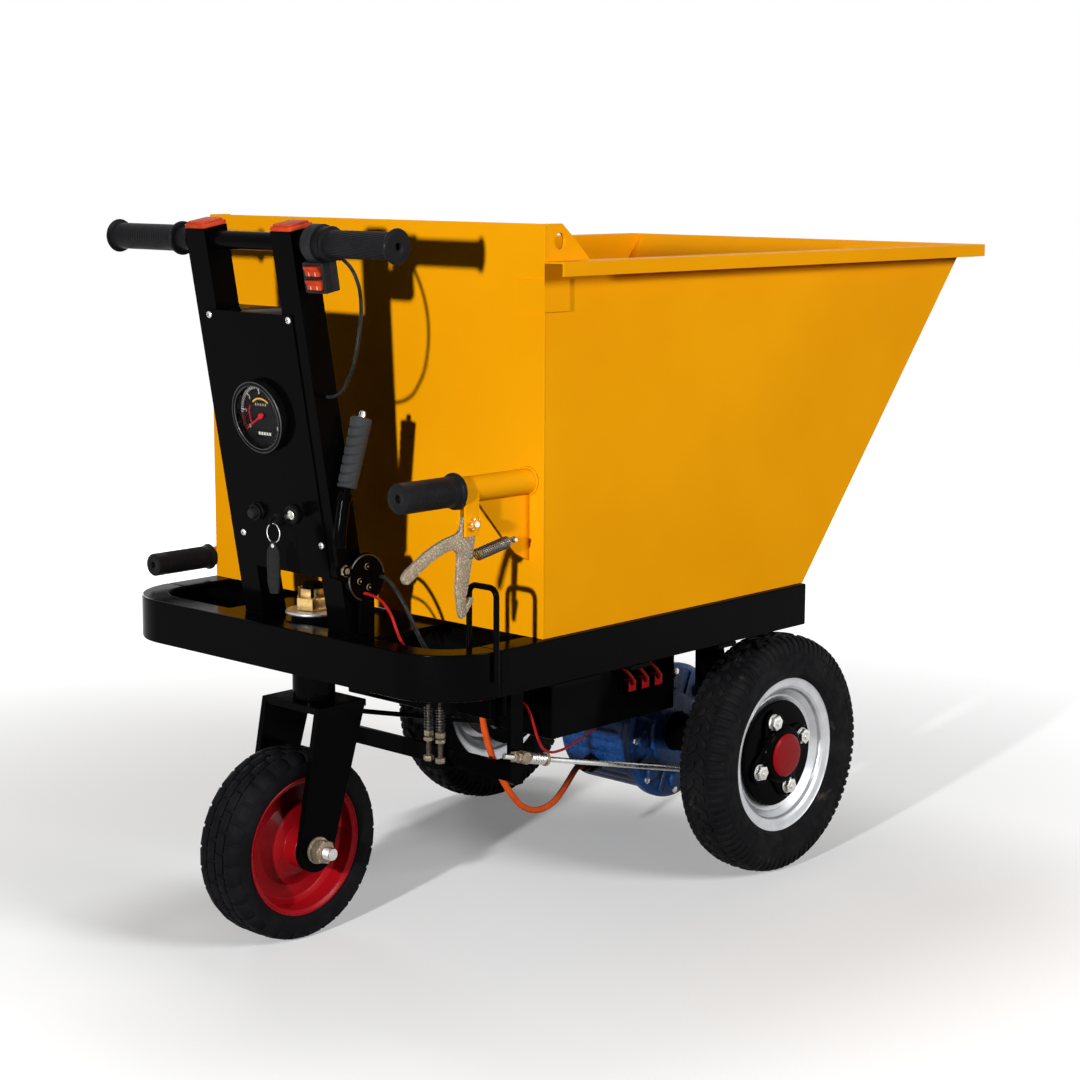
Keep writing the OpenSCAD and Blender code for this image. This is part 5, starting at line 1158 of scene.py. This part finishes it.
def latch():
    pivot = shift(0, *HOOK_PIVOT)
    hook = Shape(prism(smoothed(HOOK_OUTLINE, 2), 6, 1.2, 3), shift(319, 0, 0) @ pivot @ SIDEWAYS)
    hook.make("latch_hook_plate", ZINC, "latch", replaces=["latch_hook"], sharp=40)
    on_pivot = shift(329.4, 0, 0) @ pivot @ ALONG_X
    bolt = Shape(hex_nut(15.4, 6.8, 1.3), on_pivot @ turn(20, "Z"))
    bolt.add(lathe([(0, 6), (4.6, 6), (4.6, 8.6), (3.6, 9.4), (0, 9.4)], 28), on_pivot)
    bolt.add(lathe([(0, 0), (2.7, 0), (2.7, 12), (2, 12.6), (0, 12.6)], 24), shift(315, *PEG) @ ALONG_X)
    bolt.make("latch_pivot_bolt", STEEL, "hopper", sharp=30)

    hook_end, peg = Vector((SPRING_X, -117.2, 574)), Vector((SPRING_X, -41.3, 588))
    along = (peg - hook_end).normalized()
    side = Vector((1, 0, 0))
    up = along.cross(side)
    lead, curls, per_turn, coil_r = 9.0, 17, 20, 7.4
    run = (peg - hook_end).length - 2 * lead
    wire = [hook_end, hook_end + along * lead * 0.6]
    for k in range(curls * per_turn + 1):
        a = TAU * k / per_turn
        swell = min(1.0, k / 10, (curls * per_turn - k) / 10)
        wire.append(hook_end + along * (lead + run * k / (curls * per_turn))
                    + swell * coil_r * (math.cos(a) * up + math.sin(a) * side))
    wire += [peg - along * lead * 0.4, peg]
    spring = Shape(tube(wire, 1.0, 8))
    spring.add(torus(3.6, 0.9, 32, 8), shift(SPRING_X, *PEG) @ ALONG_X)
    spring.add(torus(4.2, 0.9, 32, 8), shift(*hook_end) @ shift(0, -3.4, -0.6))
    spring = spring.make("latch_coil_spring", DARK_STEEL, None, replaces=["latch_spring"], sharp=60)
    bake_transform(spring)


latch()


# ---------------- brake linkage under the deck


ROD_X, ROD_TOP, ROD_END = 217, (95, 248), (500, 149)  # ends in y and z
ADJUSTER_Y = 83


def brake_linkage():
    springs, nuts = Shape(), Shape()
    run = Vector((0, ROD_END[0] - ROD_TOP[0], ROD_END[1] - ROD_TOP[1]))
    tilt = turn(-90 + math.degrees(math.atan2(run.z, run.y)), "X")
    # The left rod is the same steel rod as the right one but gets black paint: painted shade, since it sits
    # in the shade under the deck.
    for side, word, mat in ((1, "right", STEEL), (-1, "left", BLACK)):
        on_rod = shift(side * ROD_X, *ROD_TOP) @ tilt
        outwards = turn(90 * side, "Y")
        rods = Shape()
        rods.add(rod(run.length - 20, 4, 0.4, 24), on_rod @ shift(0, 0, 24))
        rods.add(thread(70, 4, 1.25, 0.45, 20), on_rod @ shift(0, 0, -42))
        rods.add(lathe([(0, 0), (6, 0), (7.5, 3), (7.5, 14), (6, 17), (0, 17)], 28),
                 on_rod @ shift(0, 0, run.length - 12))
        nuts.add(lathe(rounded([(0, 0), (9, 0), (9, 16), (0, 16)], 1.4, 3, closed=False), 36),
                 shift(side * ROD_X, *ROD_TOP) @ outwards @ shift(0, 0, -8))
        rods.add(rod(13.6, 6, 0.4), shift(side * ROD_X, *ROD_TOP) @ outwards @ shift(0, 0, -21.4))
        rods.add(rod(20.4, 4, 0.5), shift(side * ROD_X, *ROD_END) @ outwards)
        rods.make("brake_pull_rod_" + word, mat, "rods", replaces=["brake_rods"], sharp=32)
        nuts.add(hex_nut(14.2, 6.6, 1.1), on_rod @ shift(0, 0, -15.8) @ turn(20, "Z"))
        nuts.add(hex_nut(14.2, 6, 1.1), on_rod @ shift(0, 0, -23) @ turn(44, "Z"))
        nuts.add(ring(rounded([(4, 44), (10, 44), (10, 47.6), (4, 47.6)], 0.7, 3), 32), on_rod)
        springs.add(tube([(0, 0, 9.6)] + spiral(7.2, 10.4, 33, 9) + [(0, 0, 44)], 1.1, 8), on_rod)
    nuts.make("brake_rod_nuts", ZINC, "rods", replaces=["brake_rods"], sharp=30)
    springs.make("brake_rod_springs", STEEL, "rods", replaces=["rod_springs"], slot="spring_steel", sharp=60)

    screws, coils = Shape(), Shape()
    for x in (38, 62):
        screws.add(thread(84, 3.7, 1.25, 0.4, 20), shift(x, ADJUSTER_Y, 213))
        for k, (flats, height, z) in enumerate(((13.6, 8.2, 213.1), (13.6, 8.2, 251), (13.2, 6, 243))):
            screws.add(hex_nut(flats, height, 1.1), shift(x, ADJUSTER_Y, z) @ turn((k + 1) * x, "Z"))
        coils.add(tube(spiral(6, 261, 33, 8), 1.1, 8), shift(x, ADJUSTER_Y, 0))
    screws.make("adjuster_screws", ZINC, "brake_frame", sharp=32)
    coils.make("adjuster_springs", DARK_STEEL, "brake_frame", sharp=60)


brake_linkage()


# ---------------- drive motor and battery


def drive_motor():
    axle = shift(0, *AXLE) @ ALONG_X

    def ribs(r, h, a):
        """Shallow cooling ribs along the case."""
        return r - (2.2 * (0.5 + 0.5 * math.cos(30 * a)) ** 3 if 12 < h + 45 < 128 and r > 96 else 0)

    case = [(31, -45), (88, -45), (95, -43.6), (98.6, -40), (100, -35), (100, -32)]
    case += [(100, -30 + 5 * k) for k in range(23)] + [(100, 84), (99, 90), (97, 95), (31, 95)]
    body = Shape(lathe(case, 240, closed=True, shape=ribs), axle)
    cover = [(31, 95), (104, 95), (108, 98), (108, 109), (101, 114), (84, 115), (62, 115), (58, 120),
             (31, 120)]
    body.add(ring(rounded(cover, 2.5, 3), 120), axle)
    bolts = Shape()
    for k in range(8):
        spot = axle @ turn(45 * k, "Z")
        boss = [(0, 96), (13, 96), (13, 117), (11.4, 119.2), (0, 119.4)]
        body.add(lathe(boss, 32), spot @ shift(79.9, 0, 0))
        body.add(prism(rounded([(58, -3), (98, -2.4), (98, 2.4), (58, 3)], 1.5, 2), 4, 1.2),
                 spot @ turn(22.5, "Z") @ shift(0, 0, 113.4))
        bolts.add(hex_nut(10, 4.2, 0.9), spot @ shift(96.5, 0, 113) @ turn(13 * k, "Z"))
    body.make("motor_casting", BLUE, replaces=["motor_housing", "motor_cover"], sharp=32)
    bolts.make("motor_bolts", STEEL, sharp=30)
    gland = [(0, 0.2), (8, 0.2), (9.6, 1.4), (10, 3), (10, 14.6), (13.4, 15.2), (14, 16.4), (14, 24),
             (12.6, 26), (12.6, 60), (0, 60)]
    Shape(lathe(gland, 36), shift(20, 441, 132) @ ALONG_Y).make("motor_gland", PLASTIC)

    plugs, lids = Shape(), Shape()
    for y in (318, 348, 378):
        plugs.add(block(12.6, 18, 16.6, 2.4, 1.2), shift(221.1, y, 316))
        lead = [(226, y, 318), (231, y - 2, 322), (233, y - 8, 330), (230, y - 16, 340), (222, y - 22, 348),
                (213, y - 26, 352)]
        plugs.add(tube(smooth_path(lead), 2.6, 10))
    plugs.make("battery_plugs", RED_SHEATH, slot="red_paint")
    for x in (-107, 107):
        lids.add(block(200, 250, 6, 14, 2.2), shift(x, 292.5, 263.4))
    for x in (-90, 0, 90):
        lids.add(block(70, 5, 26, 2, 1.2), shift(x, 155.6, 300))
    lids.make("battery_ribs", GREY_PLASTIC, slot="black_plastic")


drive_motor()


# ---------------- welds


def ring_points(radius, count=40):
    return [(*polar(radius, TAU * k / count), 0) for k in range(count + 1)]


def welds():
    yellow, black = Shape(), Shape()
    yellow.add(weld_bead(ring_points(17.6), 2.2), shift(DUMP_HANDLE_X, -0.6, DUMP_HANDLE_Z) @ ALONG_Y)
    for side in (1, -1):
        for x, first, last, radius in (
            (294, (-0.4, 884), (-0.4, 926), 1.5),
            (340.4, (46, 884.5), (46, 926), 1.4),
            (339, (4, 950.6), (88, 950.6), 1.8),
        ):
            yellow.add(weld_bead([(side * x, *first), (side * x, *last)], radius))
    yellow.add(weld_bead([(309, -0.4, 640), (309, -0.4, 570)], 1.6))
    yellow.make("hopper_welds", YELLOW, "hopper", sharp=60)
    for x in LEGS_X:
        foot = [(x - 20, -137), (x + 20, -137), (x + 20, -96.5), (x - 20, -96.5), (x - 20, -137)]
        black.add(weld_bead([(a, b, 445.6) for a, b in foot], 2.2))
    black.add(weld_bead(ring_points(30.5), 2.4), STEM @ shift(0, 0, 436))
    black.make("deck_welds", BLACK, sharp=60)


welds()


# ---------------- floor, light and background


AMBIENT = 0.006  # background light that reaches the part
FLOOR_HALF = 9.0  # metres
FLOOR_GATHERED, FLOOR_SEEN = (0.09,) * 3, (0.86,) * 3  # its tone where it lights the part, and to the eye
GLOW_FROM, GLOW_TO = 0.4, 3.0  # metres from the part over which the floor turns white
GLOW_NEAR, GLOW_FAR = 0.18, 1.0
WHITE_LIGHT = (1, 1, 1)
LAMPS_AIM = Vector((0, 0, 0.5))


def make_floor():
    """A white studio floor that brightens away from the part and throws little light back on it."""
    mesh = bpy.data.meshes.new("floor")
    corners = [(-1, -1), (1, -1), (1, 1), (-1, 1)]
    mesh.from_pydata([(x * FLOOR_HALF, y * FLOOR_HALF, 0) for x, y in corners], [], [[0, 1, 2, 3]])
    floor = put("floor", mesh)
    mat = bpy.data.materials.new("studio_floor")
    mat.use_nodes = True
    mat.node_tree.nodes.clear()
    graph = Graph(mat.node_tree)
    seen = graph.seen_directly()
    diffuse = graph.node("ShaderNodeBsdfDiffuse", Color=graph.blend(seen, FLOOR_GATHERED, FLOOR_SEEN))
    away = graph.node("ShaderNodeVectorMath", {"operation": "LENGTH"})
    graph.fill(away.inputs[0], graph.node("ShaderNodeTexCoord").outputs["Object"])
    fade = graph.spread(away.outputs["Value"], GLOW_FROM, GLOW_TO, GLOW_NEAR, GLOW_FAR, "SMOOTHSTEP")
    strength = graph.calc("MULTIPLY", fade, seen)
    glow = graph.node("ShaderNodeEmission", Color=(*WHITE_LIGHT, 1), Strength=strength)
    both = graph.node("ShaderNodeAddShader")
    for socket, shader in zip(both.inputs, (diffuse, glow)):
        graph.fill(socket, shader.outputs[0])
    graph.node("ShaderNodeOutputMaterial", Surface=both.outputs[0])
    mesh.materials.append(mat)


def make_world():
    """A background that looks white and lights the part very little."""
    world = bpy.data.worlds.new("studio")
    SCENE.world = world
    world.use_nodes = True
    graph = Graph(world.node_tree)
    graph.fill(graph.tree.nodes["Background"].inputs["Color"],
               graph.blend(graph.seen_directly(), (AMBIENT,) * 3, WHITE_LIGHT))


def make_lamp(name, azimuth, elevation, distance, size, power):
    """A round lamp aimed at the part; azimuth 0 is behind the operator, 90 at their right."""
    a, e = math.radians(azimuth), math.radians(elevation)
    toward = Vector((math.sin(a) * math.cos(e), -math.cos(a) * math.cos(e), math.sin(e)))
    data = bpy.data.lights.new(name, "AREA")
    data.shape = "DISK"
    data.size = size
    data.energy = power
    lamp = put(name, data)
    lamp.location = LAMPS_AIM + toward * distance
    lamp.rotation_euler = toward.to_track_quat("Z", "Y").to_euler()


make_floor()
make_world()
make_lamp("key", 17, 10, 4.5, 0.16, 172)
make_lamp("right_fill", 98, 22, 4.5, 1.7, 122)
make_lamp("top_fill", 228, 66, 4.0, 1.5, 56)
make_lamp("left_fill", 252, 10, 4.5, 1.6, 36)
SCENE.view_settings.view_transform = "Standard"
